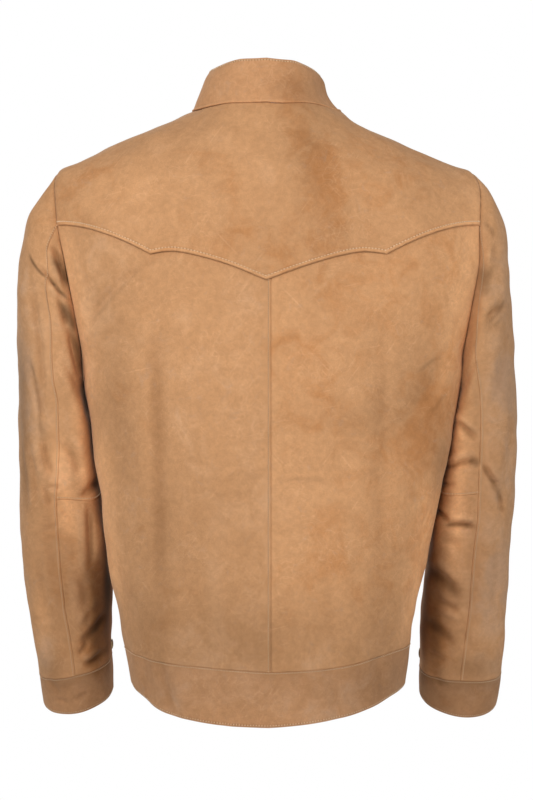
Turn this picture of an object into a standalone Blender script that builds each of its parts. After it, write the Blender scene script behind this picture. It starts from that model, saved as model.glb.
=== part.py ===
"""A men's suede jacket with a stand collar, a scalloped back yoke and a front zip.

The jacket is filled out as if it were worn. +Z is up, +Y is the back, the front faces -Y and the
wearer's left is +X. The origin is the middle of the neck, where the shoulders carry the jacket.
Every piece of leather is a wall of its own, cut from one body shape and two sleeve shapes.
Sizes are in metres and angles in degrees.
"""

import math

import bmesh
import bpy
import numpy as np
from mathutils import Matrix, Vector

# ---------------------------------------------------------------- driving sizes
LEATHER = 0.0016  # one layer
DOUBLE = 0.0026  # collar, cuffs and hem band are two layers
SEAM_GAP = 0.0003
HALF_GAP = SEAM_GAP / 2
SIDE_INSET = 0.06  # degrees that each panel stays back from the side seam
UNDERLAP = 0.008  # the back runs on this far under the yoke
YOKE_LIFT = LEATHER + 0.0008  # the yoke's lower edge lies on the back
YOKE_LIFTS = (YOKE_LIFT, YOKE_LIFT, YOKE_LIFT * 0.5)  # of its rows from that edge up

UNDERARM = -0.290
SHOULDER_START = -0.150  # above this the body turns in to the shoulder ridge
BACK_TURN_IN = 2.3  # exponents of that turn
FRONT_TURN_IN = 1.9
RUN_BELOW = 0.12  # height that one unit of the yoke's profile covers below the turn
PROFILE_RUN = 0.16  # rough length of that unit over the shoulder
TURN_RUN = 0.0034  # rough length of one degree round the body

NECK_HALF_WIDTH = {1: 0.0835, -1: 0.0805}  # left, right
NECK_BACK = 0.076
NECK_FRONT = -0.085
NECK_ROUNDNESS = 2.2
COLLAR_HEIGHT = 0.048
COLLAR_DROP = {1: 0.003, -1: 0.007}  # how much lower its top edge is at the sides than at the back
COLLAR_TOP_HALF_WIDTH = {1: 0.0630, -1: 0.0572}
COLLAR_TOP_BACK = 0.070
COLLAR_TOP_FRONT = -0.079
COLLAR_BOW = {1: 0.0005, -1: 0.0035}  # how far its side curves in
COLLAR_SEAT = 0.0012  # from the panels' neck edge to the collar

YOKE_END = (0.2240, -0.1248)  # where its lower edge meets the armhole: x, height
YOKE_NUB = (0.1217, -0.1596)
YOKE_LOBE = (0.0989, -0.1570)
YOKE_POINT = -0.1870
YOKE_OUTER_CURVE = 1.65
YOKE_INNER_CURVE = 1.40
SEAM_FORWARD = 0.012  # shoulder seam, in front of the ridge

# Body sections. widest_y is where a section is widest, right_more how much wider it is on the
# right, where the back hangs out over the sleeve.
TORSO_COLUMNS = ("height", "half_width", "right_more", "back", "front", "widest_y", "roundness")
TORSO = (
    (-0.660, 0.1440, 0.0000, 0.141, -0.146, -0.010, 2.7),
    (-0.618, 0.1480, -0.0010, 0.140, -0.147, -0.005, 2.7),
    (-0.582, 0.1535, -0.0015, 0.139, -0.148, 0.005, 2.7),
    (-0.545, 0.1600, -0.0020, 0.138, -0.147, 0.010, 2.6),
    (-0.480, 0.1720, -0.0010, 0.136, -0.144, 0.010, 2.5),
    (-0.413, 0.1820, 0.0015, 0.134, -0.141, 0.008, 2.5),
    (-0.342, 0.1930, 0.0050, 0.131, -0.137, 0.004, 2.5),
    (-0.290, 0.2000, 0.0075, 0.129, -0.133, 0.000, 2.5),
    (-0.265, 0.2035, 0.0080, 0.1285, -0.131, 0.000, 2.5),
    (-0.238, 0.2110, 0.0085, 0.128, -0.130, 0.000, 2.5),
    (-0.211, 0.2185, 0.0085, 0.1275, -0.127, 0.000, 2.5),
    (-0.174, 0.2290, 0.0080, 0.1265, -0.122, 0.000, 2.5),
    (-0.125, 0.2385, 0.0010, 0.123, -0.114, 0.000, 2.5),
    (-0.050, 0.2430, 0.0000, 0.117, -0.106, 0.000, 2.5),
    (0.060, 0.2430, 0.0000, 0.110, -0.098, 0.000, 2.5),
)

# Height of the shoulder ridge. Inside the neck it is only the slope that the back leans on.
RIDGE_COLUMNS = ("x", "left", "right", "front_drop")
RIDGE = (
    (0.0000, 0.0395, 0.0390, 0.0600),
    (0.0400, 0.0285, 0.0275, 0.0420),
    (0.0600, 0.0153, 0.0140, 0.0220),
    (0.0750, 0.0038, 0.0020, 0.0030),
    (0.0820, 0.0000, -0.0025, 0.0000),
    (0.0920, -0.0033, -0.0083, 0.0000),
    (0.1040, -0.0075, -0.0145, 0.0000),
    (0.1260, -0.0162, -0.0246, 0.0000),
    (0.1470, -0.0248, -0.0341, 0.0000),
    (0.1670, -0.0335, -0.0428, 0.0000),
    (0.1844, -0.0420, -0.0498, 0.0000),
    (0.2030, -0.0505, -0.0565, 0.0000),
    (0.2225, -0.0592, -0.0652, 0.0000),
    (0.2300, -0.0646, -0.0706, 0.0000),
    (0.2500, -0.0850, -0.0900, 0.0000),
)

# The armhole seam, from the underarm up to the shoulder tip.
ARMHOLE_COLUMNS = ("height", "x", "right_more")
ARMHOLE = (
    (-0.2900, 0.2000, 0.0075),
    (-0.2650, 0.1995, 0.0080),
    (-0.2380, 0.2028, 0.0085),
    (-0.2110, 0.2075, 0.0085),
    (-0.1680, 0.2155, 0.0075),
    (-0.1250, 0.2240, 0.0005),
    (-0.0850, 0.2285, 0.0000),
    (-0.0640, 0.2300, 0.0000),
)

# Heights of the hem band's seam and lower edge round the body, left and right: 0 is centre
# back, 180 centre front.
HEM_COLUMNS = ("turn", "left_seam", "left_edge", "right_seam", "right_edge")
HEM = (
    (0.0, -0.5877, -0.6442, -0.5877, -0.6442),
    (10.0, -0.5852, -0.6430, -0.5862, -0.6408),
    (20.0, -0.5830, -0.6403, -0.5838, -0.6370),
    (30.0, -0.5815, -0.6372, -0.5808, -0.6332),
    (40.0, -0.5803, -0.6336, -0.5765, -0.6285),
    (50.0, -0.5785, -0.6280, -0.5730, -0.6230),
    (60.0, -0.5760, -0.6208, -0.5706, -0.6175),
    (75.0, -0.5738, -0.6142, -0.5694, -0.6135),
    (90.0, -0.5725, -0.6125, -0.5690, -0.6125),
    (135.0, -0.5660, -0.6130, -0.5650, -0.6130),
    (180.0, -0.5610, -0.6150, -0.5610, -0.6150),
)

# Sleeve sections from the armhole to the cuff's edge, as seen from behind. lean turns a section
# forward about its own width.
SLEEVE_COLUMNS = ("outer_x", "outer_z", "inner_x", "inner_z", "centre_y", "half_depth", "lean")
SLEEVES = {
    1: (
        (0.2300, -0.0646, 0.2000, -0.2900, 0.000, 0.058, 0.0),
        (0.2443, -0.0820, 0.2025, -0.2935, -0.001, 0.063, 0.0),
        (0.2595, -0.1080, 0.2040, -0.2980, -0.004, 0.067, 0.0),
        (0.2686, -0.1400, 0.2045, -0.3040, -0.008, 0.070, 0.0),
        (0.2749, -0.1900, 0.2035, -0.3140, -0.014, 0.071, 1.0),
        (0.2752, -0.2500, 0.1995, -0.3330, -0.021, 0.070, 2.0),
        (0.2750, -0.3150, 0.1955, -0.3600, -0.029, 0.067, 4.0),
        (0.2752, -0.3680, 0.1910, -0.3880, -0.036, 0.064, 6.0),
        (0.2757, -0.4150, 0.1870, -0.4180, -0.043, 0.060, 8.0),
        (0.2740, -0.4700, 0.1815, -0.4700, -0.051, 0.056, 10.0),
        (0.2696, -0.5250, 0.1780, -0.5200, -0.059, 0.052, 12.0),
        (0.2640, -0.5620, 0.1772, -0.5560, -0.064, 0.049, 13.0),
        (0.2579, -0.6110, 0.1768, -0.5960, -0.069, 0.046, 14.0),
        (0.2520, -0.6510, 0.1745, -0.6360, -0.074, 0.045, 15.0),
    ),
    -1: (
        (0.2295, -0.0704, 0.2075, -0.2900, 0.000, 0.058, 0.0),
        (0.2405, -0.0840, 0.2100, -0.2935, -0.001, 0.063, 0.0),
        (0.2527, -0.1080, 0.2110, -0.2980, -0.004, 0.067, 0.0),
        (0.2601, -0.1400, 0.2110, -0.3040, -0.008, 0.070, 0.0),
        (0.2640, -0.1900, 0.2095, -0.3140, -0.014, 0.071, 1.0),
        (0.2689, -0.2500, 0.2045, -0.3330, -0.021, 0.070, 2.0),
        (0.2718, -0.3150, 0.1990, -0.3600, -0.029, 0.067, 4.0),
        (0.2726, -0.3680, 0.1930, -0.3880, -0.036, 0.064, 6.0),
        (0.2724, -0.4150, 0.1865, -0.4180, -0.043, 0.060, 8.0),
        (0.2687, -0.4700, 0.1785, -0.4700, -0.051, 0.056, 10.0),
        (0.2658, -0.5250, 0.1735, -0.5200, -0.059, 0.052, 12.0),
        (0.2640, -0.5620, 0.1720, -0.5560, -0.064, 0.049, 13.0),
        (0.2600, -0.6130, 0.1710, -0.6080, -0.069, 0.046, 11.0),
        (0.2560, -0.6475, 0.1700, -0.6390, -0.074, 0.045, 19.0),
    ),
}
SHOULDER_GAP = 0.0014  # the seam lies on a bend, so its edges lean towards each other inside
LONG_SEAM_GAP = 0.0019
ARMHOLE_GAP = 0.0007  # between the sleeve and the body's panels
ROW_GAP = 0.004  # in rows, half the gap at the elbow and cuff seams
LAST_FIRST_ROW = 0.5  # the narrow row beside the armhole is nowhere further down
ELBOW_ROW = {1: 7.83, -1: 7.67}
CUFF_ROW = 12.0
LAST_ROW = 13.0
CAP_ROWS = 3.0  # over these the armhole's outline turns into the sleeve's
SLEEVE_ROUNDNESS = 2.15

# Angle round the sleeve of its two long seams: 0 is the outside, 90 the back, 180 the inside.
# right_more is added to the back seam of the right sleeve.
SEAM_COLUMNS = ("row", "back_seam", "right_more", "front_seam")
SLEEVE_SEAMS = (
    (0.0, 64.0, 0.0, 236.0),
    (1.0, 69.0, 3.0, 228.0),
    (2.0, 88.0, 7.0, 220.0),
    (3.0, 99.0, 10.0, 214.0),
    (5.0, 101.0, 11.0, 208.0),
    (6.0, 100.0, 9.0, 206.0),
    (8.0, 91.0, 3.0, 202.0),
    (10.0, 89.0, 0.0, 198.0),
    (12.0, 96.0, -4.0, 195.0),
    (13.0, 96.0, -4.0, 195.0),
)

# The largest folds of the back, as soft troughs between two points seen from behind.
BACK_FOLD_COLUMNS = ("from_x", "from_z", "to_x", "to_z", "half_width", "depth")
BACK_FOLDS = (
    (0.121, -0.175, 0.113, -0.560, 0.013, -0.0032),
    (-0.120, -0.180, -0.117, -0.560, 0.013, -0.0024),
    (0.196, -0.236, 0.127, -0.166, 0.007, -0.0036),
    (0.190, -0.255, 0.150, -0.212, 0.009, 0.0022),
    (-0.182, -0.250, -0.150, -0.330, 0.010, -0.0020),
    (0.060, -0.440, 0.052, -0.600, 0.013, 0.0016),
    (-0.060, -0.450, -0.072, -0.600, 0.013, -0.0018),
)

# Folds of the sleeves, between two places given as the angle round and the row.
SLEEVE_FOLD_COLUMNS = ("from_turn", "from_row", "to_turn", "to_row", "half_width", "depth")
SLEEVE_FOLDS = {
    1: (
        (70.0, 2.0, 112.0, 4.4, 0.013, -0.0034),
        (104.0, 1.4, 128.0, 2.8, 0.009, 0.0030),
        (20.0, 4.0, 66.0, 7.0, 0.012, -0.0035),
        (8.0, 6.2, 50.0, 8.6, 0.012, -0.0030),
        (96.0, 8.6, 104.0, 10.2, 0.007, -0.0035),
        (52.0, 9.0, 40.0, 11.0, 0.010, -0.0028),
        (60.0, 10.6, 110.0, 11.7, 0.007, -0.0026),
        (300.0, 3.0, 240.0, 5.0, 0.012, -0.0040),
        (300.0, 7.0, 230.0, 8.2, 0.010, -0.0040),
        (330.0, 8.6, 250.0, 9.6, 0.010, -0.0035),
    ),
    -1: (
        (60.0, 3.6, 14.0, 4.9, 0.009, -0.0040),
        (128.0, 8.0, 88.0, 8.7, 0.007, -0.0035),
        (80.0, 8.4, 30.0, 10.2, 0.008, -0.0040),
        (125.0, 9.0, 92.0, 9.9, 0.007, -0.0038),
        (118.0, 6.2, 86.0, 7.0, 0.009, -0.0026),
        (30.0, 5.6, 12.0, 8.0, 0.012, -0.0026),
        (300.0, 3.4, 236.0, 5.2, 0.012, -0.0040),
        (310.0, 7.2, 226.0, 8.4, 0.010, -0.0040),
        (320.0, 8.8, 246.0, 9.9, 0.010, -0.0035),
    ),
}
FOLD_SCALE = (0.0009, 0.05)  # metres for a degree round a sleeve, and for a row
SLEEVE_RADIUS = 0.055
FOLD_TAPER = 0.30  # share of a fold's length over which each end dies away
FOLD_CLEARANCE = (0.004, 0.014)  # the back's folds begin this far under the yoke

# Closure
ZIP_HALF_GAP = 0.0055  # from centre front to each front edge
TAPE_INSIDE = DOUBLE + 0.0006  # below the outer face of the fronts
TAPE_INSIDE_COLLAR = DOUBLE + 0.0020  # and of the collar
TAPE_THICK = 0.0009
TAPE_HALF_GAP = 0.0003
TAPE_WIDTH = 0.0130
TAPE_END = 0.002  # it stops this far short of the hem's edge
TAPE_BODY_ROWS = 24
TAPE_COLLAR_ROWS = 4
TAPE_COLLAR_SHARE = 0.94  # of the collar's height
SLIDER = (0.0078, 0.0110, 0.0026)  # across, along the zip, off the zip
SLIDER_BEVEL = 0.0006
SLIDER_SINK = 0.0002  # its outer face lies this far below the collar's
CROWN_SINK = 0.0004  # the crown's feet stand this deep in the slider
SLIDER_UP = 0.62  # share of the collar's height at which the slider stands
CROWN = (0.0022, 0.0078, 0.0032)
CROWN_WALL = 0.0010
PULL = (0.0060, 0.0300, 0.0011)
PULL_BAR = 0.0011
PULL_WINDOW = (0.0032, 0.0040)
PULL_BEVEL = 0.0003
SNAP_RADIUS = 0.0058
SNAP_HEIGHT = 0.0022
SNAP_PROFILE = ((0.0, 1.0), (0.45, 0.95), (0.8, 0.7), (1.0, 0.35), (1.0, 0.0), (0.0, 0.0))
SNAP_STEPS = 16
SNAP_ROW = 11.72
SNAP_TURN = 184.0

# Faces along the edges of the panels. Pieces that meet at a seam share their stations.
ARMHOLE_BACK = 8  # underarm to the yoke
ARMHOLE_YOKE = 5  # yoke to the shoulder seam
ARMHOLE_FRONT = 8  # shoulder seam to the sleeve's front seam
ARMHOLE_UNDER = 4  # front seam to the underarm
SIDE_ROWS = 12
BACK_COLUMNS = 14
YOKE_LOBE_COLUMNS = 10
NECK_COLUMNS = 6
UPPER_SLEEVE_ROWS = 12
LOWER_SLEEVE_ROWS = 7
BODY_MIDDLE = (0.0, 0.0, -0.4)  # places inside the hollow, which tell the outer faces apart
CHEST_MIDDLE = (0.0, 0.0, -0.15)
NECK_MIDDLE = (0.0, 0.0, 0.0)
SLEEVE_MIDDLE = (0.232, -0.03)
NARROW = 0.02  # share of a sleeve piece's width that its first and last columns take
BORDER = 0.0025  # width of the first and last rows and columns of the body's panels
BAND_ROWS = 3
BAND_BACK_COLUMNS = 22
BAND_FRONT_COLUMNS = 12
COLLAR_COLUMNS = 30
TAPE_TURNS = 3.0  # the tape's outer edge is this many times as far round as its front edge

SUEDE = ("suede", (0.60, 0.33, 0.14), 0.9, 0.0)
YOKE_SUEDE = ("yoke_suede", (0.64, 0.36, 0.16), 0.9, 0.0)
BAND_SUEDE = ("band_suede", (0.56, 0.31, 0.14), 0.9, 0.0)
TAPE_CLOTH = ("zip_tape", (0.30, 0.17, 0.08), 0.8, 0.0)
BRASS = ("antique_brass", (0.45, 0.33, 0.18), 0.35, 1.0)


# ---------------------------------------------------------------- tables and curves
def column(table, columns, name):
    """One named column of a table."""
    return np.array([row[columns.index(name)] for row in table], dtype=float)


def smooth(xs, ys, at):
    """A smooth curve through the points (xs, ys), which doesn't overshoot between them."""
    at = np.clip(at, xs[0], xs[-1])
    steps = np.diff(xs)
    slopes = np.diff(ys) / steps
    tangents = np.zeros(len(ys))
    product = slopes[:-1] * slopes[1:]
    total = slopes[:-1] + slopes[1:]
    rising = product > 0
    tangents[1:-1][rising] = 2 * product[rising] / total[rising]
    tangents[0] = slopes[0]
    tangents[-1] = slopes[-1]
    i = np.clip(np.searchsorted(xs, at, side="right") - 1, 0, len(steps) - 1)
    f = (at - xs[i]) / steps[i]
    near = (1 + 2 * f) * (1 - f) ** 2 * ys[i] + f * (1 - f) ** 2 * steps[i] * tangents[i]
    far = f * f * (3 - 2 * f) * ys[i + 1] - f * f * (1 - f) * steps[i] * tangents[i + 1]
    return near + far


def look_up(table, columns, key, name, at):
    return smooth(column(table, columns, key), column(table, columns, name), at)


def by_side(values, x):
    """The left or the right one of two values, by the sign of x."""
    return np.where(np.asarray(x) >= 0, values[1], values[-1])


def signed_power(base, power):
    return np.sign(base) * np.abs(base) ** power


def fade(share):
    """0 to 1, smoothly, as share goes from 0 to 1."""
    share = np.clip(share, 0.0, 1.0)
    return share * share * (3 - 2 * share)


def folds(table, columns, across, along, scale):
    """How far the folds of a table raise the surface at the places (across, along).

    Every fold is soft across and dies away towards its two ends. scale turns the two
    coordinates into metres.
    """
    total = np.zeros(np.shape(across))
    for row in table:
        x0, z0, x1, z1, half_width, depth = row
        run = np.array([(x1 - x0) * scale[0], (z1 - z0) * scale[1]])
        length = np.hypot(*run)
        dx = (across - x0) * scale[0]
        dz = (along - z0) * scale[1]
        share = (dx * run[0] + dz * run[1]) / length**2
        off = np.abs(dx * run[1] - dz * run[0]) / length
        ends = fade(share / FOLD_TAPER) * fade((1 - share) / FOLD_TAPER)
        total = total + depth * ends * np.exp(-((off / half_width) ** 2))
    return total


# ---------------------------------------------------------------- the body's shape
def section(height, x):
    """Half width, back, front, widest y and roundness of the body, on the side that x is on."""
    names = TORSO_COLUMNS[1:]
    half_width, more, *rest = [look_up(TORSO, TORSO_COLUMNS, "height", name, height) for name in names]
    return half_width + np.where(np.asarray(x) < 0, more, 0.0), *rest


def ridge(x, front):
    """Height of the shoulder ridge at x, a little lower on the front near the neck."""
    size = np.abs(x)
    left = look_up(RIDGE, RIDGE_COLUMNS, "x", "left", size)
    right = look_up(RIDGE, RIDGE_COLUMNS, "x", "right", size)
    drop = look_up(RIDGE, RIDGE_COLUMNS, "x", "front_drop", size)
    return np.where(np.asarray(x) >= 0, left, right) - np.where(front, drop, 0.0)


def flat_depth(x, height, front):
    """y of the body at x before it turns in to the shoulder."""
    half_width, back, front_y, widest_y, roundness = section(height, x)
    depth = np.where(front, front_y - widest_y, back - widest_y)
    share = np.clip(np.abs(x) / half_width, 0.0, 1.0)
    return widest_y + depth * (1 - share**roundness) ** (1 / roundness)


def turned_in(x, height, front):
    """How much of its depth the body keeps at this height, 1 below the shoulder."""
    power = np.where(front, FRONT_TURN_IN, BACK_TURN_IN)
    top = ridge(x, front)
    share = np.clip((height - SHOULDER_START) / (top - SHOULDER_START), 0.0, 1.0)
    return (1 - share**power) ** (1 / power)


def body_at(x, height, front):
    """A point of the body given its x and height."""
    y = flat_depth(x, height, front) * turned_in(x, height, front)
    return np.stack(np.broadcast_arrays(x, y, height), axis=-1)


def back_folds(x, height):
    """The back's folds, which lie below the yoke's edge."""
    below = yoke_edge(x) - height - FOLD_CLEARANCE[0]
    clear = fade(below / (FOLD_CLEARANCE[1] - FOLD_CLEARANCE[0]))
    return clear * folds(BACK_FOLDS, BACK_FOLD_COLUMNS, x, height, (1, 1))


def body(turn, height):
    """A point of the body: turn in degrees from centre back, positive to the wearer's left."""
    half_width, back, front_y, widest_y, roundness = section(height, turn)
    angle = np.radians(turn)
    front = np.cos(angle) < 0
    x = half_width * signed_power(np.sin(angle), 2 / roundness)
    depth = np.where(front, widest_y - front_y, back - widest_y)
    flat = widest_y + depth * signed_power(np.cos(angle), 2 / roundness)
    y = flat * turned_in(x, height, front) + np.where(front, 0.0, 1.0) * back_folds(x, height)
    return np.stack(np.broadcast_arrays(x, y, height), axis=-1)


def turn_of(x, height, front):
    """The turn at which the body has this x."""
    half_width, _, _, _, roundness = section(height, x)
    share = np.clip(np.abs(x) / half_width, 0.0, 1.0)
    turn = np.degrees(np.arcsin(share ** (roundness / 2)))
    turn = np.where(front, 180.0 - turn, turn)
    return np.where(np.asarray(x) >= 0, turn, -turn)


def over_shoulder(x, profile):
    """A point of the body by its x and how far it is along the profile over the shoulder.

    The profile is 0 where the back starts to turn in, 1 on the ridge and above 1 in front.
    """
    front = profile > 1
    angle = np.radians(90.0) * np.clip(np.where(front, 2 - profile, profile), 0.0, 1.0)
    power = np.where(front, FRONT_TURN_IN, BACK_TURN_IN)
    climb = np.sin(angle) ** (2 / power)
    below = np.minimum(profile, 0.0) * RUN_BELOW
    height = SHOULDER_START + climb * (ridge(x, front) - SHOULDER_START) + below
    y = flat_depth(x, height, front) * np.cos(angle) ** (2 / power)
    return np.stack(np.broadcast_arrays(x, y, height), axis=-1)


def profile_at_height(x, height, front):
    power = np.where(front, FRONT_TURN_IN, BACK_TURN_IN)
    climb = (height - SHOULDER_START) / (ridge(x, front) - SHOULDER_START)
    angle = np.arcsin(np.clip(climb, 0.0, 1.0) ** (power / 2))
    above = np.degrees(angle) / 90.0
    below = (height - SHOULDER_START) / RUN_BELOW
    profile = np.where(height < SHOULDER_START, below, above)
    return np.where(front, 2 - profile, profile)


def profile_at_depth(x, y):
    """The profile's value where the body is at (x, y) in plan."""
    front = np.asarray(y) < 0
    power = np.where(front, FRONT_TURN_IN, BACK_TURN_IN)
    height = ridge(x, front)
    for _ in range(6):
        keep = np.clip(y / flat_depth(x, height, front), 0.0, 1.0)
        angle = np.arccos(keep ** (power / 2))
        climb = np.sin(angle) ** (2 / power)
        height = SHOULDER_START + climb * (ridge(x, front) - SHOULDER_START)
    profile = np.degrees(angle) / 90.0
    return np.where(front, 2 - profile, profile), height


def neck_plan(turn, out):
    """x and y of the neck seam, pushed out by this much."""
    angle = np.radians(turn)
    across = signed_power(np.sin(angle), 2 / NECK_ROUNDNESS)
    along = signed_power(np.cos(angle), 2 / NECK_ROUNDNESS)
    x = (by_side(NECK_HALF_WIDTH, across) + out) * across
    y = np.where(along > 0, NECK_BACK + out, -NECK_FRONT + out) * along
    return x, y


def armhole_x(side, height):
    """How far out the armhole seam is at this height."""
    more = look_up(ARMHOLE, ARMHOLE_COLUMNS, "height", "right_more", height)
    return look_up(ARMHOLE, ARMHOLE_COLUMNS, "height", "x", height) + (side < 0) * more


def yoke_edge(x):
    """Height of the yoke's lower edge: two arcs a side, which meet in a small nub."""
    size = np.abs(x)
    outer_share = np.clip((YOKE_END[0] - size) / (YOKE_END[0] - YOKE_NUB[0]), 0.0, 1.0)
    outer = YOKE_END[1] + (YOKE_NUB[1] - YOKE_END[1]) * outer_share**YOKE_OUTER_CURVE
    inner_share = np.clip((YOKE_LOBE[0] - size) / YOKE_LOBE[0], 0.0, 1.0)
    inner = YOKE_LOBE[1] + (YOKE_POINT - YOKE_LOBE[1]) * inner_share**YOKE_INNER_CURVE
    rise_share = np.clip((size - YOKE_LOBE[0]) / (YOKE_NUB[0] - YOKE_LOBE[0]), 0.0, 1.0)
    inner = inner + (YOKE_NUB[1] - YOKE_LOBE[1]) * rise_share**2
    return np.where(size > YOKE_NUB[0], outer, inner)


def hem_height(turn, name):
    """Height of the hem band's seam or edge at this turn."""
    left = look_up(HEM, HEM_COLUMNS, "turn", "left_" + name, np.abs(turn))
    right = look_up(HEM, HEM_COLUMNS, "turn", "right_" + name, np.abs(turn))
    return np.where(np.asarray(turn) >= 0, left, right)


# ---------------------------------------------------------------- the sleeves' shape
def armhole_place(side, turn):
    """x, height and front or back of the armhole seam, a ring: 0 is the shoulder tip, 90 the
    back and 180 the underarm."""
    angle = np.radians(turn)
    tip = SLEEVES[side][0][SLEEVE_COLUMNS.index("outer_z")]
    height = (tip + UNDERARM) / 2 + (tip - UNDERARM) / 2 * np.cos(angle)
    return side * armhole_x(side, height), height, np.sin(angle) < 0


def armhole(side, turn):
    return body_at(*armhole_place(side, turn))


def armhole_turn_at_height(side, height):
    tip = SLEEVES[side][0][SLEEVE_COLUMNS.index("outer_z")]
    share = (height - (tip + UNDERARM) / 2) / ((tip - UNDERARM) / 2)
    return math.degrees(math.acos(share))


def armhole_turn_at_seam(side, forward=SEAM_FORWARD):
    """The turn at which the shoulder seam meets the armhole, just in front of the tip."""
    turns = np.linspace(0.0, 60.0, 601)
    y = armhole(side, -turns)[:, 1]
    return -float(np.interp(forward, -y, turns))


def sleeve_row(side, row):
    table = SLEEVES[side]
    rows = np.arange(len(table), dtype=float)
    return [smooth(rows, column(table, SLEEVE_COLUMNS, name), row) for name in SLEEVE_COLUMNS]


def sleeve_ring(side, turn, row, swell):
    """A point of the sleeve's own round section, swollen by this factor."""
    outer_x, outer_z, inner_x, inner_z, centre_y, half_depth, lean = sleeve_row(side, row)
    angle = np.radians(turn)
    across = signed_power(np.cos(angle), 2 / SLEEVE_ROUNDNESS) * swell
    along = signed_power(np.sin(angle), 2 / SLEEVE_ROUNDNESS) * swell * half_depth
    tilt = np.radians(lean)
    x = side * ((outer_x + inner_x) / 2 + (outer_x - inner_x) / 2 * across)
    y = centre_y + along * np.cos(tilt)
    z = (outer_z + inner_z) / 2 + (outer_z - inner_z) / 2 * across - along * np.sin(tilt)
    return np.stack(np.broadcast_arrays(x, y, z), axis=-1)


def sleeve(side, turn, row):
    """A point of a sleeve: turn in degrees round from the outside over the back, and its row."""
    around = np.mod(turn, 360.0)
    raised = folds(SLEEVE_FOLDS[side], SLEEVE_FOLD_COLUMNS, around, row, FOLD_SCALE)
    free = sleeve_ring(side, turn, row, 1 + raised / SLEEVE_RADIUS)
    seat = armhole(side, turn) - sleeve_ring(side, turn, 0.0 * row, 1.0)
    return free + seat * (1 - fade(row / CAP_ROWS))[..., None]


def seam_turn(side, row, name):
    """Turn of a long seam at a row. The back seam starts where the yoke ends."""
    turn = look_up(SLEEVE_SEAMS, SEAM_COLUMNS, "row", name, row)
    if name == "back_seam" and side < 0:
        turn = turn + look_up(SLEEVE_SEAMS, SEAM_COLUMNS, "row", "right_more", row)
    if name == "back_seam":
        first = column(SLEEVE_SEAMS, SEAM_COLUMNS, name)[0]
        turn = turn + (armhole_turn_at_height(side, YOKE_END[1]) - first) * (1 - fade(row))
    return turn


# ---------------------------------------------------------------- the collar's shape
def collar(turn, share):
    """A point of the collar: turn round the neck, share 0 at its seam and 1 at its top edge."""
    base_x, base_y = neck_plan(turn, 0.0)
    _, base_z = profile_at_depth(base_x, base_y)
    angle = np.radians(turn)
    across = signed_power(np.sin(angle), 2 / NECK_ROUNDNESS)
    along = signed_power(np.cos(angle), 2 / NECK_ROUNDNESS)
    top_x = by_side(COLLAR_TOP_HALF_WIDTH, across) * across
    top_y = np.where(along > 0, COLLAR_TOP_BACK, -COLLAR_TOP_FRONT) * along
    rise = COLLAR_HEIGHT - by_side(COLLAR_DROP, across) * (1 - np.abs(along) ** 2)
    bow = by_side(COLLAR_BOW, across) * across * np.sin(np.pi * share)
    x = base_x + (top_x - base_x) * share - bow
    y = base_y + (top_y - base_y) * share
    z = base_z + rise * share
    return np.stack(np.broadcast_arrays(x, y, z), axis=-1)


# ---------------------------------------------------------------- panels
def run(curve, count):
    """Evenly spaced points along a flat curve of one parameter from 0 to 1."""
    fine = np.array([curve(t) for t in np.linspace(0.0, 1.0, 8 * count + 1)], dtype=float)
    steps = np.hypot(*np.diff(fine, axis=0).T)
    length = np.concatenate(([0.0], np.cumsum(steps)))
    at = np.linspace(0.0, length[-1], count + 1)
    return np.stack([np.interp(at, length, fine[:, k]) for k in range(2)], axis=-1)


def joined(*runs):
    """Several runs end to end, without the doubled corners."""
    return np.concatenate([runs[0]] + [more[1:] for more in runs[1:]])


def fill(bottom, top, left, right):
    """The flat grid inside four edges. Rows go up, columns go from left to right."""
    u = np.linspace(0.0, 1.0, len(bottom))[None, :, None]
    v = np.linspace(0.0, 1.0, len(left))[:, None, None]
    across = (1 - v) * bottom[None] + v * top[None]
    up = (1 - u) * left[:, None] + u * right[:, None]
    near = (1 - u) * bottom[0] + u * bottom[-1]
    far = (1 - u) * top[0] + u * top[-1]
    return across + up - (1 - v) * near - v * far


def with_borders(chart, below, above, near, far):
    """The grid with one more line beside each edge, at this distance from it in metres."""
    for distance, axis, from_end in ((below, 0, False), (above, 0, True), (near, 1, False), (far, 1, True)):
        lines = np.moveaxis(chart, axis, 0)
        if from_end:
            lines = lines[::-1]
        step = lines[1] - lines[0]
        length = np.linalg.norm(step, axis=-1, keepdims=True)
        border = lines[0] + step * np.minimum(distance / length, 0.6)
        lines = np.concatenate((lines[:1], border[None], lines[1:]))
        if from_end:
            lines = lines[::-1]
        chart = np.moveaxis(lines, 0, axis)
    return chart


def flat_place(x, height, front):
    """A place of the body as flat coordinates in metres: girth from the centre, and height."""
    return abs(float(turn_of(x, height, front))) * TURN_RUN, float(height)


def on_body(side, chart):
    return body(side * chart[..., 0] / TURN_RUN, chart[..., 1])


def unit_normals(points, inside):
    """Unit normals of a grid of points, facing away from the point inside."""
    normals = np.cross(np.gradient(points, axis=0), np.gradient(points, axis=1))
    normals = normals / np.linalg.norm(normals, axis=-1, keepdims=True)
    return normals * np.sign(np.sum(normals * (points - np.array(inside))))


def material(finish):
    name, colour, roughness, metallic = finish
    made = bpy.data.materials.get(name)
    if made is None:
        made = bpy.data.materials.new(name)
        made.use_nodes = True
        shader = made.node_tree.nodes["Principled BSDF"]
        shader.inputs["Base Color"].default_value = (*colour, 1.0)
        shader.inputs["Roughness"].default_value = roughness
        shader.inputs["Metallic"].default_value = metallic
    return made


def add_object(name, mesh, finish):
    mesh.materials.append(material(finish))
    made = bpy.data.objects.new(name, mesh)
    bpy.data.collections["suede_jacket"].objects.link(made)
    return made


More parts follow.
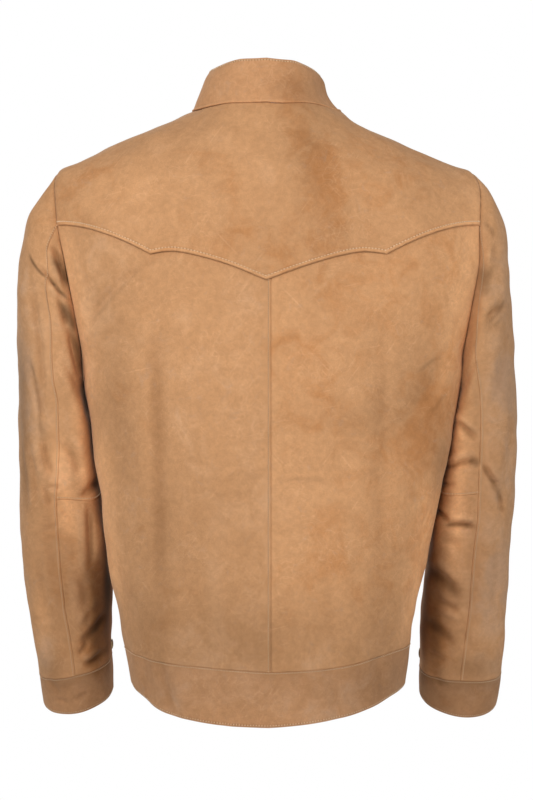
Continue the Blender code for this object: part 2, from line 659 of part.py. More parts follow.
def wall(name, points, thickness, inside, finish):
    """A wall of leather: a sheet through a grid of points, thickened towards the inside."""
    rows, columns = points.shape[:2]
    made = bmesh.new()
    grid = [[made.verts.new(point) for point in line] for line in points]
    for j in range(rows - 1):
        for i in range(columns - 1):
            made.faces.new((grid[j][i], grid[j][i + 1], grid[j + 1][i + 1], grid[j + 1][i]))
    made.normal_update()
    outward = sum(face.normal.dot(face.calc_center_median() - Vector(inside)) for face in made.faces)
    if outward < 0:
        bmesh.ops.reverse_faces(made, faces=made.faces)
    mesh = bpy.data.meshes.new(name)
    made.to_mesh(mesh)
    made.free()
    mesh.shade_smooth()
    piece = add_object(name, mesh, finish)
    thicken = piece.modifiers.new("thickness", "SOLIDIFY")
    thicken.thickness = thickness
    thicken.offset = -1.0
    thicken.use_even_offset = True
    return piece


def side_name(side):
    return "left" if side > 0 else "right"


def side_seam(side, turn):
    """The side seam of the front or the back, from the hem band up to the underarm."""
    low = float(hem_height(side * turn, "seam")) + HALF_GAP
    heights = np.linspace(low, UNDERARM, SIDE_ROWS + 1)
    return np.stack([np.full(SIDE_ROWS + 1, turn * TURN_RUN), heights], axis=-1)


def above_band(side, start, end, columns):
    """The panels' lower edge, which follows the hem band's seam between two turns."""

    def curve(t):
        turn = start + (end - start) * t
        return turn * TURN_RUN, float(hem_height(side * turn, "seam")) + HALF_GAP

    return run(curve, columns)


def along_armhole(side, turns):
    """Flat places of the armhole seam at these turns of its ring."""
    return np.array([flat_place(*armhole_place(side, turn)) for turn in turns])


def straight_up(x, low, high, rows, front):
    """A line up the body at one x, close to centre back or centre front."""
    heights = np.linspace(low, high, rows + 1)
    return np.array([flat_place(x, height, front) for height in heights])


def back_panel(side):
    """One half of the back, from the hem band up to a little under the yoke."""
    yoke_turn = seam_turn(side, 0.0, "back_seam")
    top_height = YOKE_END[1] + UNDERLAP
    corner_x = float(armhole_x(side, top_height)) - UNDERLAP / 4
    outer_edge = joined(
        side_seam(side, 90.0 - SIDE_INSET),
        along_armhole(side, np.linspace(180.0, yoke_turn, ARMHOLE_BACK + 1)),
        np.array([[0.0, 0.0], flat_place(side * corner_x, top_height, False)]),
    )

    def under_yoke(t):
        x = corner_x * (1 - t) + HALF_GAP * t
        return flat_place(side * x, float(yoke_edge(x)) + UNDERLAP, False)

    low = float(hem_height(0.0, "seam")) + HALF_GAP
    high = float(yoke_edge(0.0)) + UNDERLAP
    centre = joined(
        straight_up(side * HALF_GAP, low, UNDERARM, SIDE_ROWS, False),
        straight_up(side * HALF_GAP, UNDERARM, high, ARMHOLE_BACK + 1, False),
    )
    centre_turn = centre[0][0] / TURN_RUN
    chart = fill(
        above_band(side, 90.0 - SIDE_INSET, centre_turn, BACK_COLUMNS),
        run(under_yoke, BACK_COLUMNS),
        outer_edge,
        centre,
    )
    chart = with_borders(chart, BORDER, BORDER, BORDER, BORDER)
    return wall(f"back_{side_name(side)}", on_body(side, chart), LEATHER, BODY_MIDDLE, SUEDE)


def neck_corner_turn(side):
    """The turn at which the neck seam meets the shoulder seam."""
    turns = np.linspace(60.0, 130.0, 701)
    _, y = neck_plan(side * turns, COLLAR_SEAT)
    return float(np.interp(SEAM_FORWARD, -y, turns))


def yoke_edges(side):
    """The yoke's lower, upper and armhole edges on one side, as x and distance up its profile."""

    def lower_edge(start, end):
        def curve(t):
            x = start + (end - start) * t
            return side * x, float(profile_at_height(side * x, yoke_edge(x), False)) * PROFILE_RUN

        return run(curve, YOKE_LOBE_COLUMNS)

    seam_turn_here = armhole_turn_at_seam(side, SEAM_FORWARD - SHOULDER_GAP / 2)
    yoke_turn = seam_turn(side, 0.0, "back_seam")
    armhole_edge = []
    for turn in np.linspace(yoke_turn, seam_turn_here, ARMHOLE_YOKE + 1):
        x, height, front = armhole_place(side, turn)
        armhole_edge.append((float(x), float(profile_at_height(x, height, front)) * PROFILE_RUN))
    seam_start = armhole_edge[-1][0]
    corner_turn = neck_corner_turn(side)
    seam_end = float(neck_plan(side * corner_turn, COLLAR_SEAT)[0])

    xs = np.linspace(seam_start, seam_end, YOKE_LOBE_COLUMNS + 1)
    profile = profile_at_depth(xs, -SEAM_FORWARD + SHOULDER_GAP / 2)[0]
    shoulder_seam = np.stack([xs, profile * PROFILE_RUN], axis=-1)

    def neck_edge(t):
        x, y = neck_plan(side * corner_turn * (1 - t), COLLAR_SEAT)
        return float(x), float(profile_at_depth(x, y)[0]) * PROFILE_RUN

    lower = joined(lower_edge(YOKE_END[0], YOKE_NUB[0]), lower_edge(YOKE_NUB[0], 0.0))
    upper = joined(shoulder_seam, run(neck_edge, YOKE_LOBE_COLUMNS))
    return lower, upper, np.array(armhole_edge)


def back_yoke():
    """The yoke over the whole upper back, across the shoulders to a seam just in front."""
    left_lower, left_upper, left_armhole = yoke_edges(1)
    right_lower, right_upper, right_armhole = yoke_edges(-1)
    chart = fill(
        joined(left_lower, right_lower[::-1]),
        joined(left_upper, right_upper[::-1]),
        left_armhole,
        right_armhole,
    )
    chart = with_borders(chart, UNDERLAP * 1.5, BORDER, BORDER, BORDER)
    points = over_shoulder(chart[..., 0], chart[..., 1] / PROFILE_RUN)
    lift = np.zeros((len(points), 1, 1))
    lift[: len(YOKE_LIFTS), 0, 0] = YOKE_LIFTS
    points = points + unit_normals(points, CHEST_MIDDLE) * lift
    return wall("back_yoke", points, LEATHER, CHEST_MIDDLE, YOKE_SUEDE)


def zip_edge_turn(half_width):
    """The turn round the neck at which a ring of this half width reaches the zip."""
    share = (ZIP_HALF_GAP / half_width) ** (NECK_ROUNDNESS / 2)
    return 180.0 - math.degrees(math.asin(share))


def front_panel(side):
    """One front, from the side seam to the zip and up to the shoulder seam."""
    shoulder_y = -SEAM_FORWARD - SHOULDER_GAP / 2
    seam_here = armhole_turn_at_seam(side, SEAM_FORWARD + SHOULDER_GAP / 2)
    front_seam = seam_turn(side, 0.0, "front_seam")
    outer_edge = joined(
        side_seam(side, 90.0 + SIDE_INSET),
        along_armhole(side, np.linspace(180.0, front_seam, ARMHOLE_UNDER + 1)),
        along_armhole(side, np.linspace(front_seam, 360.0 + seam_here, ARMHOLE_FRONT + 1)),
    )
    corner_turn = neck_corner_turn(side)
    seam_start = float(armhole_place(side, seam_here)[0])
    seam_end = float(neck_plan(side * corner_turn, COLLAR_SEAT)[0])

    xs = np.linspace(seam_start, seam_end, YOKE_LOBE_COLUMNS + 1)
    shoulder_seam = np.array([flat_place(x, profile_at_depth(x, shoulder_y)[1], True) for x in xs])

    base_turn = zip_edge_turn(NECK_HALF_WIDTH[side] + COLLAR_SEAT)

    def neck_edge(t):
        turn = base_turn + (corner_turn - base_turn) * t
        x, y = neck_plan(side * turn, COLLAR_SEAT)
        return flat_place(x, profile_at_depth(x, min(float(y), shoulder_y))[1], True)

    low = float(hem_height(180.0, "seam")) + HALF_GAP
    neck_base = neck_edge(0.0)[1]
    zip_rows = len(outer_edge) - 1 - NECK_COLUMNS
    zip_edge = straight_up(side * ZIP_HALF_GAP, low, neck_base, zip_rows, True)
    chart = fill(
        above_band(side, 90.0 + SIDE_INSET, zip_edge[0][0] / TURN_RUN, YOKE_LOBE_COLUMNS),
        shoulder_seam,
        outer_edge,
        joined(zip_edge, run(neck_edge, NECK_COLUMNS)),
    )
    chart = with_borders(chart, BORDER, BORDER, BORDER, TAPE_WIDTH - ZIP_HALF_GAP)
    return wall(f"front_{side_name(side)}", on_body(side, chart), LEATHER, BODY_MIDDLE, SUEDE)


def hem_band(name, start, end, columns):
    """A stretch of the band round the hem."""
    turns = np.linspace(start, end, columns + 1)[None, :]
    share = np.linspace(0.0, 1.0, BAND_ROWS + 1)[:, None]
    low = hem_height(turns, "edge")
    high = hem_height(turns, "seam") - HALF_GAP
    points = body(turns + 0 * share, low + (high - low) * share)
    return wall(name, points, DOUBLE, BODY_MIDDLE, BAND_SUEDE)


def collar_piece():
    edge = zip_edge_turn(NECK_HALF_WIDTH[-1])
    turns = np.linspace(-edge, edge, COLLAR_COLUMNS + 1)
    tape_edge = 180.0 - (180.0 - edge) * TAPE_TURNS
    turns = np.concatenate((turns[:1], [-tape_edge], turns[1:-1], [tape_edge], turns[-1:]))[None, :]
    share = np.linspace(0.0, 1.0, BAND_ROWS + 1)[:, None]
    points = collar(turns + 0 * share, share + 0 * turns)
    return wall("collar", points, DOUBLE, NECK_MIDDLE, BAND_SUEDE)


def sleeve_columns(side):
    """Shares of the top and the under sleeve's widths at which their columns stand.

    They follow the stations of the body's panels at the armhole, with a narrow column along
    each long seam.
    """
    back_seam = seam_turn(side, 0.0, "back_seam")
    front_seam = seam_turn(side, 0.0, "front_seam")
    shoulder = armhole_turn_at_seam(side)
    top = joined(
        np.linspace(front_seam - 360.0, shoulder, ARMHOLE_FRONT + 1),
        np.linspace(shoulder, back_seam, ARMHOLE_YOKE + 1),
    )
    under = joined(
        np.linspace(back_seam, 180.0, ARMHOLE_BACK + 1),
        np.linspace(180.0, front_seam, ARMHOLE_UNDER + 1),
    )
    made = []
    for turns in (top, under):
        share = (turns - turns[0]) / (turns[-1] - turns[0])
        made.append(np.concatenate(([0.0, NARROW], share[1:-1], [1 - NARROW, 1.0])))
    return made


def clear_of_armhole(side, turn, distance):
    """The row at which the sleeve is this far from the armhole, at each turn."""
    little = 0.02
    step = sleeve(side, turn, np.full(turn.shape, little)) - sleeve(side, turn, np.zeros(turn.shape))
    return np.minimum(little * distance / np.linalg.norm(step, axis=-1), LAST_FIRST_ROW)


def sleeve_piece(name, side, rows, shares, start, end, thickness, finish):
    """A piece of a sleeve. start and end are the turns of its two edges at each row."""
    inset = np.degrees(LONG_SEAM_GAP / 2 / sleeve_row(side, rows)[5])
    first = (start + inset)[:, None]
    last = (end - inset)[:, None]
    turn = first + (last - first) * shares[None, :]
    row = rows[:, None] + 0 * turn
    if rows[0] == 0:
        row[0] = clear_of_armhole(side, turn[0], ARMHOLE_GAP)
        row[1] = clear_of_armhole(side, turn[1], ARMHOLE_GAP + BORDER)
    points = sleeve(side, turn, row)
    inside = (side * SLEEVE_MIDDLE[0], SLEEVE_MIDDLE[1], float(points[..., 2].mean()))
    return wall(f"{name}_{side_name(side)}", points, thickness, inside, finish)


def sleeve_pieces(side):
    """The top sleeve, the under sleeve in two pieces with a seam at the elbow, and the cuff."""
    top_shares, under_shares = sleeve_columns(side)
    upper = np.linspace(0.0, ELBOW_ROW[side] - ROW_GAP, UPPER_SLEEVE_ROWS + 1)
    upper = np.insert(upper, 1, LAST_FIRST_ROW)
    lower = np.linspace(ELBOW_ROW[side] + ROW_GAP, CUFF_ROW - ROW_GAP, LOWER_SLEEVE_ROWS + 1)
    whole = np.concatenate((upper, lower))
    cuff = np.linspace(CUFF_ROW + ROW_GAP, LAST_ROW, 3)
    front, back = seam_turn(side, whole, "front_seam"), seam_turn(side, whole, "back_seam")
    sleeve_piece("top_sleeve", side, whole, top_shares, front - 360.0, back, LEATHER, SUEDE)
    for name, rows in (("under_sleeve_upper", upper), ("under_sleeve_lower", lower)):
        front, back = seam_turn(side, rows, "front_seam"), seam_turn(side, rows, "back_seam")
        sleeve_piece(name, side, rows, under_shares, back, front, LEATHER, SUEDE)
    front = seam_turn(side, cuff, "front_seam")
    back = float(seam_turn(side, CUFF_ROW, "back_seam"))
    before = float(front[0]) - 360.0
    turned = np.concatenate((before + (back - before) * top_shares[:-1],
                             back + (front[0] - back) * under_shares[1:]))
    cuff_shares = (turned - turned[0]) / (turned[-1] - turned[0])
    sleeve_piece("cuff", side, cuff, cuff_shares, front - 360.0, front, DOUBLE, BAND_SUEDE)


# ---------------------------------------------------------------- closure
def zip_tape(side):
    """The tape of one half of the zip, which lies just inside the front, the band and the collar."""
    xs = np.array([TAPE_HALF_GAP, ZIP_HALF_GAP, TAPE_HALF_GAP + TAPE_WIDTH])
    turns = 180.0 - np.degrees(np.arcsin((xs / NECK_HALF_WIDTH[side]) ** (NECK_ROUNDNESS / 2)))
    low = float(hem_height(180.0, "edge")) + TAPE_END
    base = float(collar(180.0, np.array(0.0))[2])
    rows = []
    for height in np.linspace(low, base - TAPE_END, TAPE_BODY_ROWS + 1):
        rows.append([body_at(side * x, height, True) for x in xs])
    for share in np.linspace(0.0, 1.0, TAPE_COLLAR_ROWS + 1)[1:]:
        rows.append([collar(side * turn, share * TAPE_COLLAR_SHARE) for turn in turns])
    points = np.array(rows, dtype=float)
    points[..., 0] = side * xs
    inside = np.full((len(points), 1, 1), TAPE_INSIDE)
    inside[TAPE_BODY_ROWS:] = TAPE_INSIDE_COLLAR
    points = points - unit_normals(points, BODY_MIDDLE) * inside
    points[..., 0] = side * xs
    return wall(f"zip_tape_{side_name(side)}", points, TAPE_THICK, BODY_MIDDLE, TAPE_CLOTH)


def zip_frame():
    """Matrix of the slider: X across, Y up the zip, Z out of the jacket."""
    base = Vector(collar(180.0, np.array(0.0)))
    top = Vector(collar(180.0, np.array(1.0)))
    place = base.lerp(top, SLIDER_UP)
    up = (top - base).normalized()
    out = Vector((1.0, 0.0, 0.0)).cross(up).normalized()
    across = up.cross(out)
    turned = Matrix((across, up, out)).transposed().to_4x4()
    return Matrix.Translation(place) @ turned


def block(name, size, centre, bevel, finish):
    """A rounded block in the slider's own directions, with its origin on the hinge."""
    made = bmesh.new()
    bmesh.ops.create_cube(made, size=1.0)
    bmesh.ops.scale(made, vec=size, verts=made.verts)
    bmesh.ops.translate(made, vec=centre, verts=made.verts)
    mesh = bpy.data.meshes.new(name)
    made.to_mesh(mesh)
    made.free()
    piece = add_object(name, mesh, finish)
    if bevel:
        rounded = piece.modifiers.new("edges", "BEVEL")
        rounded.width = bevel
        rounded.segments = 2
    return piece


def as_cutter(piece):
    piece.hide_render = True
    piece.display_type = "WIRE"
    for collection in piece.users_collection:
        collection.objects.unlink(piece)
    bpy.data.collections["cutters"].objects.link(piece)


def cut(piece, cutter, operation):
    boolean = piece.modifiers.new(operation.lower(), "BOOLEAN")
    boolean.operation = operation
    boolean.solver = "EXACT"
    boolean.object = cutter


def zip_pull_and_slider():
    """The slider with its crown, and the pull tab that hangs on the bar under the crown."""
    frame = zip_frame()
    face = -SLIDER_SINK
    body_centre = (0.0, 0.0, face - SLIDER[2] / 2)
    crown_centre = (0.0, 0.0, face + CROWN[2] / 2 - CROWN_SINK)
    slider = block("zip_slider", SLIDER, body_centre, SLIDER_BEVEL, BRASS)
    crown = block("crown", CROWN, crown_centre, SLIDER_BEVEL, BRASS)
    room = (CROWN[0] * 2, CROWN[1] - 2 * CROWN_WALL, CROWN[2] - CROWN_WALL - CROWN_SINK)
    eye = block("crown_eye", room, (0.0, 0.0, face + room[2] / 2), 0.0, BRASS)
    cut(crown, eye, "DIFFERENCE")
    cut(slider, crown, "UNION")
    hinge = frame @ Matrix.Translation((0.0, 0.0, face + room[2] / 2))
    pull_centre = (0.0, PULL_BAR / 2 - PULL[1] / 2, 0.0)
    pull = block("zip_pull", PULL, pull_centre, PULL_BEVEL, BRASS)
    window_centre = (0.0, -PULL_BAR / 2 - PULL_WINDOW[1] / 2, 0.0)
    window = block("pull_window", (PULL_WINDOW[0], PULL_WINDOW[1], PULL[2] * 2), window_centre, 0.0, BRASS)
    cut(pull, window, "DIFFERENCE")
    for piece in (slider, crown, eye):
        piece.matrix_world = frame
    for piece in (pull, window):
        piece.matrix_world = hinge
    for piece in (crown, eye, window):
        as_cutter(piece)
    print("zip pull hinge at", tuple(round(value, 6) for value in hinge.translation))


def cuff_snap(side):
    """The cap of the snap that closes the cuff's vent, on the inside of the wrist."""
    place = Vector(sleeve(side, np.array(SNAP_TURN), np.array(SNAP_ROW)))
    round_step = Vector(sleeve(side, np.array(SNAP_TURN + 4), np.array(SNAP_ROW)))
    down_step = Vector(sleeve(side, np.array(SNAP_TURN), np.array(SNAP_ROW + 0.2)))
    out = (round_step - place).cross(down_step - place).normalized()
    if out.x * side > 0:
        out = -out
    made = bmesh.new()
    line = [made.verts.new((r * SNAP_RADIUS, 0.0, h * SNAP_HEIGHT)) for r, h in SNAP_PROFILE]
    for first, second in zip(line, line[1:]):
        made.edges.new((first, second))
    name = f"cuff_snap_{side_name(side)}"
    mesh = bpy.data.meshes.new(name)
    made.to_mesh(mesh)
    made.free()
    cap = add_object(name, mesh, BRASS)
    turned = cap.modifiers.new("turned", "SCREW")
    turned.steps = SNAP_STEPS
    turned.render_steps = SNAP_STEPS
    turned.use_merge_vertices = True
    turned.merge_threshold = 0.00001
    stand_off = place + out * SEAM_GAP * 2
    cap.matrix_world = Matrix.Translation(stand_off) @ out.to_track_quat("Z", "Y").to_matrix().to_4x4()


# ---------------------------------------------------------------- the whole jacket
def build():
    for old in list(bpy.data.objects):
        bpy.data.objects.remove(old, do_unlink=True)
    for name in ("suede_jacket", "cutters"):
        group = bpy.data.collections.new(name)
        bpy.context.scene.collection.children.link(group)
    back_yoke()
    collar_piece()
    hem_band("hem_band_back", SIDE_INSET - 90.0, 90.0 - SIDE_INSET, BAND_BACK_COLUMNS)
    for side in (1, -1):
        front_edge = float(turn_of(side * ZIP_HALF_GAP, hem_height(180.0, "edge"), True))
        hem_band(f"hem_band_{side_name(side)}", side * (90.0 + SIDE_INSET), front_edge, BAND_FRONT_COLUMNS)
        back_panel(side)
        front_panel(side)
        sleeve_pieces(side)
        zip_tape(side)
        cuff_snap(side)
    zip_pull_and_slider()


build()
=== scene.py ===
# %% [markdown]
# # A suede jacket, seen from behind
#
# The jacket is worn by nobody, but it keeps the form of a wearer: shoulders filled out, sleeves
# hanging, neck, hem and cuffs open. +Z is up, +Y comes out of the back and +X is the wearer's left.
# The rigid model of the same jacket is loaded first. Every piece made here lies where that model
# has it, with a finer surface, real creases, sewing and suede.

# %% Load the rigid jacket
import math

import bpy
import numpy as np
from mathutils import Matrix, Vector


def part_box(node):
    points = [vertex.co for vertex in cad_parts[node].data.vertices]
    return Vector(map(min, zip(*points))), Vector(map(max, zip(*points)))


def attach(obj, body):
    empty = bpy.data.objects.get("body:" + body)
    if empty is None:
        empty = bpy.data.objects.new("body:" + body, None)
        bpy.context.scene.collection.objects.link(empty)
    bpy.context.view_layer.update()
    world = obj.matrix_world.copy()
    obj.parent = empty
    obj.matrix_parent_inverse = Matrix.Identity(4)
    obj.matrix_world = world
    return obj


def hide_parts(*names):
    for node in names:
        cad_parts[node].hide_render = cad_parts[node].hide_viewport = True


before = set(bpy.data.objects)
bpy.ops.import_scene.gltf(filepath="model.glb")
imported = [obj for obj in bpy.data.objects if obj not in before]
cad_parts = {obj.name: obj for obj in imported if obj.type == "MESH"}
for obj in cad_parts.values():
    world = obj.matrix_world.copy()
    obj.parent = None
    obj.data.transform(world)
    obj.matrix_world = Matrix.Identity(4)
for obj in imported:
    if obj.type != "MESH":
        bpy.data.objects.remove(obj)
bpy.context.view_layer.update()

# %% [markdown]
# ## Sizes
#
# One layer of this suede is 1.6 mm thick. The collar, cuffs and hem band are two layers. A
# pattern cutter would draw flat pieces. Here the worn form comes first, as tables of sections,
# and the pieces are cut out of it, because the outline of the whole jacket is what the eye checks.

# %% The sizes that everything follows
LEATHER = 0.0016
DOUBLE = 0.0026
HALF_GAP = -0.0001  # the pieces just touch at a seam
SIDE_INSET = -0.02  # degrees
UNDERLAP = 0.008  # how far each back runs up under the yoke
YOKE_LIFT = 0.0024
UNDERARM = -0.290
SHOULDER_START = -0.150  # above this height the body turns in to the shoulder ridge
TURN_IN = {"back": 2.3, "front": 1.9}  # how squarely it turns in
RUN_BELOW = 0.12  # metres of back to one unit of profile, below the shoulder's start
PROFILE_RUN = 0.16  # metres to one unit of profile on a flat chart
TURN_RUN = 0.0034  # metres to one degree of turn on a flat chart

NECK_HALF_WIDTH = {1: 0.0835, -1: 0.0805}  # left, right
NECK_BACK = 0.076
NECK_FRONT = -0.085
NECK_ROUNDNESS = 2.2
COLLAR_HEIGHT = 0.048
COLLAR_DROP = {1: 0.003, -1: 0.007}
COLLAR_TOP_HALF_WIDTH = {1: 0.0657, -1: 0.0576}
COLLAR_TOP_BACK = 0.070
COLLAR_TOP_FRONT = -0.079
COLLAR_BOW = {1: -0.0006, -1: 0.0058}
COLLAR_ROUND = {1: 0.0022, -1: 0.0034}
COLLAR_SEAT = -0.0006  # the panels' neck edge runs just into the collar

YOKE_END = (0.2240, -0.1248)
YOKE_NUB = (0.1217, -0.1596)
YOKE_LOBE = (0.0989, -0.1570)
YOKE_POINT = -0.1870
YOKE_OUTER_CURVE = 1.65
YOKE_INNER_CURVE = 1.40
SEAM_FORWARD = 0.012
ZIP_HALF_GAP = 0.0055
print("leather", LEATHER * 1000, "mm, bands", DOUBLE * 1000, "mm")

# %% [markdown]
# ## Tables of sections
#
# Heights are measured from the shoulder ridge. Each table has a row for every height at which the
# form changes. Its columns are named once, in its first line, and looked up by name.

# %% Body, shoulder ridge, armhole and hem
def named_table(columns, *rows):
    return dict(zip(columns.split(), np.array(rows, dtype=float).T))


# Body sections. widest_y is where a section is widest, right_more how much wider it is on the
# right, where the back hangs out over the sleeve.
TORSO = named_table(
    "height half_width right_more back front widest_y roundness",
    (-0.660, 0.1440, 0.0000, 0.141, -0.146, -0.010, 2.7),
    (-0.618, 0.1480, -0.0010, 0.140, -0.147, -0.005, 2.7),
    (-0.582, 0.1535, -0.0015, 0.139, -0.148, 0.005, 2.7),
    (-0.545, 0.1600, -0.0020, 0.138, -0.147, 0.010, 2.6),
    (-0.480, 0.1720, -0.0010, 0.136, -0.144, 0.010, 2.5),
    (-0.413, 0.1815, 0.0020, 0.134, -0.141, 0.008, 2.5),
    (-0.342, 0.1898, 0.0080, 0.131, -0.137, 0.004, 2.5),
    (-0.290, 0.2000, 0.0075, 0.129, -0.133, 0.000, 2.5),
    (-0.265, 0.2035, 0.0080, 0.1285, -0.131, 0.000, 2.5),
    (-0.238, 0.2110, 0.0085, 0.128, -0.130, 0.000, 2.5),
    (-0.211, 0.2185, 0.0085, 0.1275, -0.127, 0.000, 2.5),
    (-0.174, 0.2290, 0.0080, 0.1265, -0.122, 0.000, 2.5),
    (-0.125, 0.2385, 0.0010, 0.123, -0.114, 0.000, 2.5),
    (-0.050, 0.2430, 0.0000, 0.117, -0.106, 0.000, 2.5),
    (0.060, 0.2430, 0.0000, 0.110, -0.098, 0.000, 2.5),
)

# Height of the shoulder ridge. Inside the neck it is only the slope that the back leans on.
RIDGE_ROUND = 0.016  # rounds the slope off at centre back
RIDGE = named_table(
    "x left right front_drop",
    (0.0160, 0.0408, 0.0402, 0.0600),
    (0.0400, 0.0322, 0.0312, 0.0420),
    (0.0600, 0.0192, 0.0179, 0.0180),
    (0.0750, 0.0079, 0.0060, 0.0000),
    (0.0820, 0.0036, 0.0010, 0.0000),
    (0.0900, -0.0001, -0.0058, 0.0000),
    (0.1040, -0.0075, -0.0132, 0.0000),
    (0.1260, -0.0152, -0.0244, 0.0000),
    (0.1470, -0.0236, -0.0358, 0.0000),
    (0.1670, -0.0346, -0.0446, 0.0000),
    (0.1844, -0.0446, -0.0506, 0.0000),
    (0.2030, -0.0531, -0.0567, 0.0000),
    (0.2225, -0.0582, -0.0624, 0.0000),
    (0.2300, -0.0636, -0.0655, 0.0000),
    (0.2500, -0.0850, -0.0870, 0.0000),
)

# The armhole seam, from the underarm up to the shoulder tip.
ARMHOLE = named_table(
    "height x right_more",
    (-0.2900, 0.2000, 0.0075),
    (-0.2650, 0.1995, 0.0080),
    (-0.2380, 0.2028, 0.0085),
    (-0.2110, 0.2075, 0.0085),
    (-0.1680, 0.2155, 0.0075),
    (-0.1250, 0.2240, 0.0000),
    (-0.0950, 0.2280, -0.0018),
    (-0.0780, 0.2298, -0.0046),
    (-0.0654, 0.2285, -0.0085),
    (-0.0587, 0.2239, -0.0110),
)

# Heights of the hem band's seam and lower edge round the body, left and right: 0 is centre
# back, 180 centre front.
HEM = named_table(
    "turn left_seam left_edge right_seam right_edge",
    (0.0, -0.5877, -0.6442, -0.5877, -0.6442),
    (10.0, -0.5852, -0.6430, -0.5862, -0.6408),
    (20.0, -0.5830, -0.6403, -0.5838, -0.6370),
    (30.0, -0.5815, -0.6372, -0.5808, -0.6332),
    (40.0, -0.5803, -0.6336, -0.5765, -0.6285),
    (50.0, -0.5785, -0.6280, -0.5730, -0.6230),
    (60.0, -0.5760, -0.6208, -0.5706, -0.6175),
    (75.0, -0.5738, -0.6142, -0.5694, -0.6135),
    (90.0, -0.5725, -0.6125, -0.5690, -0.6125),
    (135.0, -0.5660, -0.6130, -0.5650, -0.6130),
    (180.0, -0.5610, -0.6150, -0.5610, -0.6150),
)

# Sleeve sections from the armhole to the cuff's edge, as seen from behind. lean turns a section
# forward about its own width.
SLEEVE_COLUMNS = "outer_x outer_z inner_x inner_z centre_y half_depth lean"
SLEEVES = {
    1: named_table(
        SLEEVE_COLUMNS,
        (0.2300, -0.0601, 0.2000, -0.2900, 0.000, 0.058, 0.0),
        (0.2443, -0.0820, 0.1990, -0.2935, -0.001, 0.063, 0.0),
        (0.2595, -0.1080, 0.1980, -0.2980, -0.004, 0.067, 0.0),
        (0.2664, -0.1400, 0.1972, -0.3040, -0.008, 0.070, 0.0),
        (0.2730, -0.1900, 0.1964, -0.3140, -0.014, 0.071, 1.0),
        (0.2735, -0.2500, 0.1943, -0.3330, -0.021, 0.070, 2.0),
        (0.2743, -0.3150, 0.1914, -0.3600, -0.029, 0.067, 4.0),
        (0.2745, -0.3680, 0.1881, -0.3880, -0.036, 0.064, 6.0),
        (0.2742, -0.4150, 0.1857, -0.4180, -0.043, 0.060, 8.0),
        (0.2740, -0.4700, 0.1787, -0.4700, -0.051, 0.056, 10.0),
        (0.2684, -0.5250, 0.1752, -0.5200, -0.059, 0.052, 12.0),
        (0.2628, -0.5620, 0.1765, -0.5560, -0.064, 0.049, 13.0),
        (0.2570, -0.6110, 0.1768, -0.5960, -0.069, 0.046, 14.0),
        (0.2520, -0.6484, 0.1745, -0.6352, -0.074, 0.045, 19.5),
    ),
    -1: named_table(
        SLEEVE_COLUMNS,
        (0.2295, -0.0604, 0.2075, -0.2900, 0.000, 0.058, 0.0),
        (0.2434, -0.0800, 0.2068, -0.2935, -0.001, 0.063, 0.0),
        (0.2516, -0.1070, 0.2052, -0.2980, -0.004, 0.067, 0.0),
        (0.2580, -0.1400, 0.2043, -0.3040, -0.008, 0.070, 0.0),
        (0.2621, -0.1900, 0.2031, -0.3140, -0.014, 0.071, 1.0),
        (0.2674, -0.2500, 0.2004, -0.3330, -0.021, 0.070, 2.0),
        (0.2718, -0.3150, 0.1962, -0.3600, -0.029, 0.067, 4.0),
        (0.2726, -0.3680, 0.1917, -0.3880, -0.036, 0.064, 6.0),
        (0.2724, -0.4150, 0.1865, -0.4180, -0.043, 0.060, 8.0),
        (0.2687, -0.4700, 0.1785, -0.4700, -0.051, 0.056, 10.0),
        (0.2670, -0.5250, 0.1735, -0.5200, -0.059, 0.052, 12.0),
        (0.2664, -0.5620, 0.1700, -0.5560, -0.064, 0.049, 13.0),
        (0.2612, -0.6130, 0.1680, -0.6080, -0.069, 0.046, 11.0),
        (0.2565, -0.6494, 0.1685, -0.6380, -0.074, 0.045, 21.5),
    ),
}
# Angle round the sleeve of its two long seams: 0 is the outside, 90 the back, 180 the inside.
SLEEVE_SEAMS = named_table(
    "row back_seam right_back_seam front_seam",
    (0.00, 64.0, 64.0, 236.0),
    (0.50, 65.5, 85.0, 232.0),
    (1.10, 68.0, 101.0, 227.0),
    (1.65, 80.0, 105.5, 222.0),
    (2.25, 83.0, 108.0, 218.0),
    (2.90, 90.5, 112.5, 214.5),
    (3.70, 94.5, 110.5, 212.0),
    (4.75, 95.5, 103.0, 209.0),
    (5.20, 99.5, 100.5, 208.0),
    (6.20, 98.0, 97.0, 205.5),
    (7.00, 94.5, 95.5, 204.0),
    (7.80, 91.0, 93.0, 202.5),
    (8.60, 90.0, 91.0, 201.0),
    (10.0, 89.5, 90.5, 198.0),
    (11.0, 91.5, 91.5, 196.5),
    (12.0, 93.5, 92.5, 195.0),
    (13.0, 94.0, 92.5, 195.0),
)
SHOULDER_GAP = -0.0002
LONG_SEAM_GAP = -0.0002
ROW_GAP = -0.0008
ELBOW_ROW = {1: 7.83, -1: 7.67}
CUFF_ROW = 12.0
LAST_ROW = 13.0
CAP_ROWS = 3.0  # rows over which the armhole's ring turns into the sleeve's own
SEAM_SETTLES = 0.5  # rows over which a long seam leaves the armhole
SLEEVE_ROUNDNESS = 2.5
ELBOW_FLATNESS = 3.0  # a bent elbow stretches the back of the sleeve flat
FLAT_FROM, FLAT_TO = (3.5, 1.5), (8.3, 1.7)  # row at which that starts or ends, and over how many
CUFF_FALL = 0.6  # how much plainer an oval the cuff's lower edge is
print(len(TORSO["height"]), "body sections,", len(SLEEVES[1]["lean"]), "rows in a sleeve")

# %% [markdown]
# ## The form under the leather
#
# A dressmaker's form is a stack of sections. Here each section is a rounded rectangle whose size
# comes from the tables, and a curve that doesn't overshoot joins the rows. A subdivision surface
# could do it too, but with named sections every seam can be found again by its height or turn.

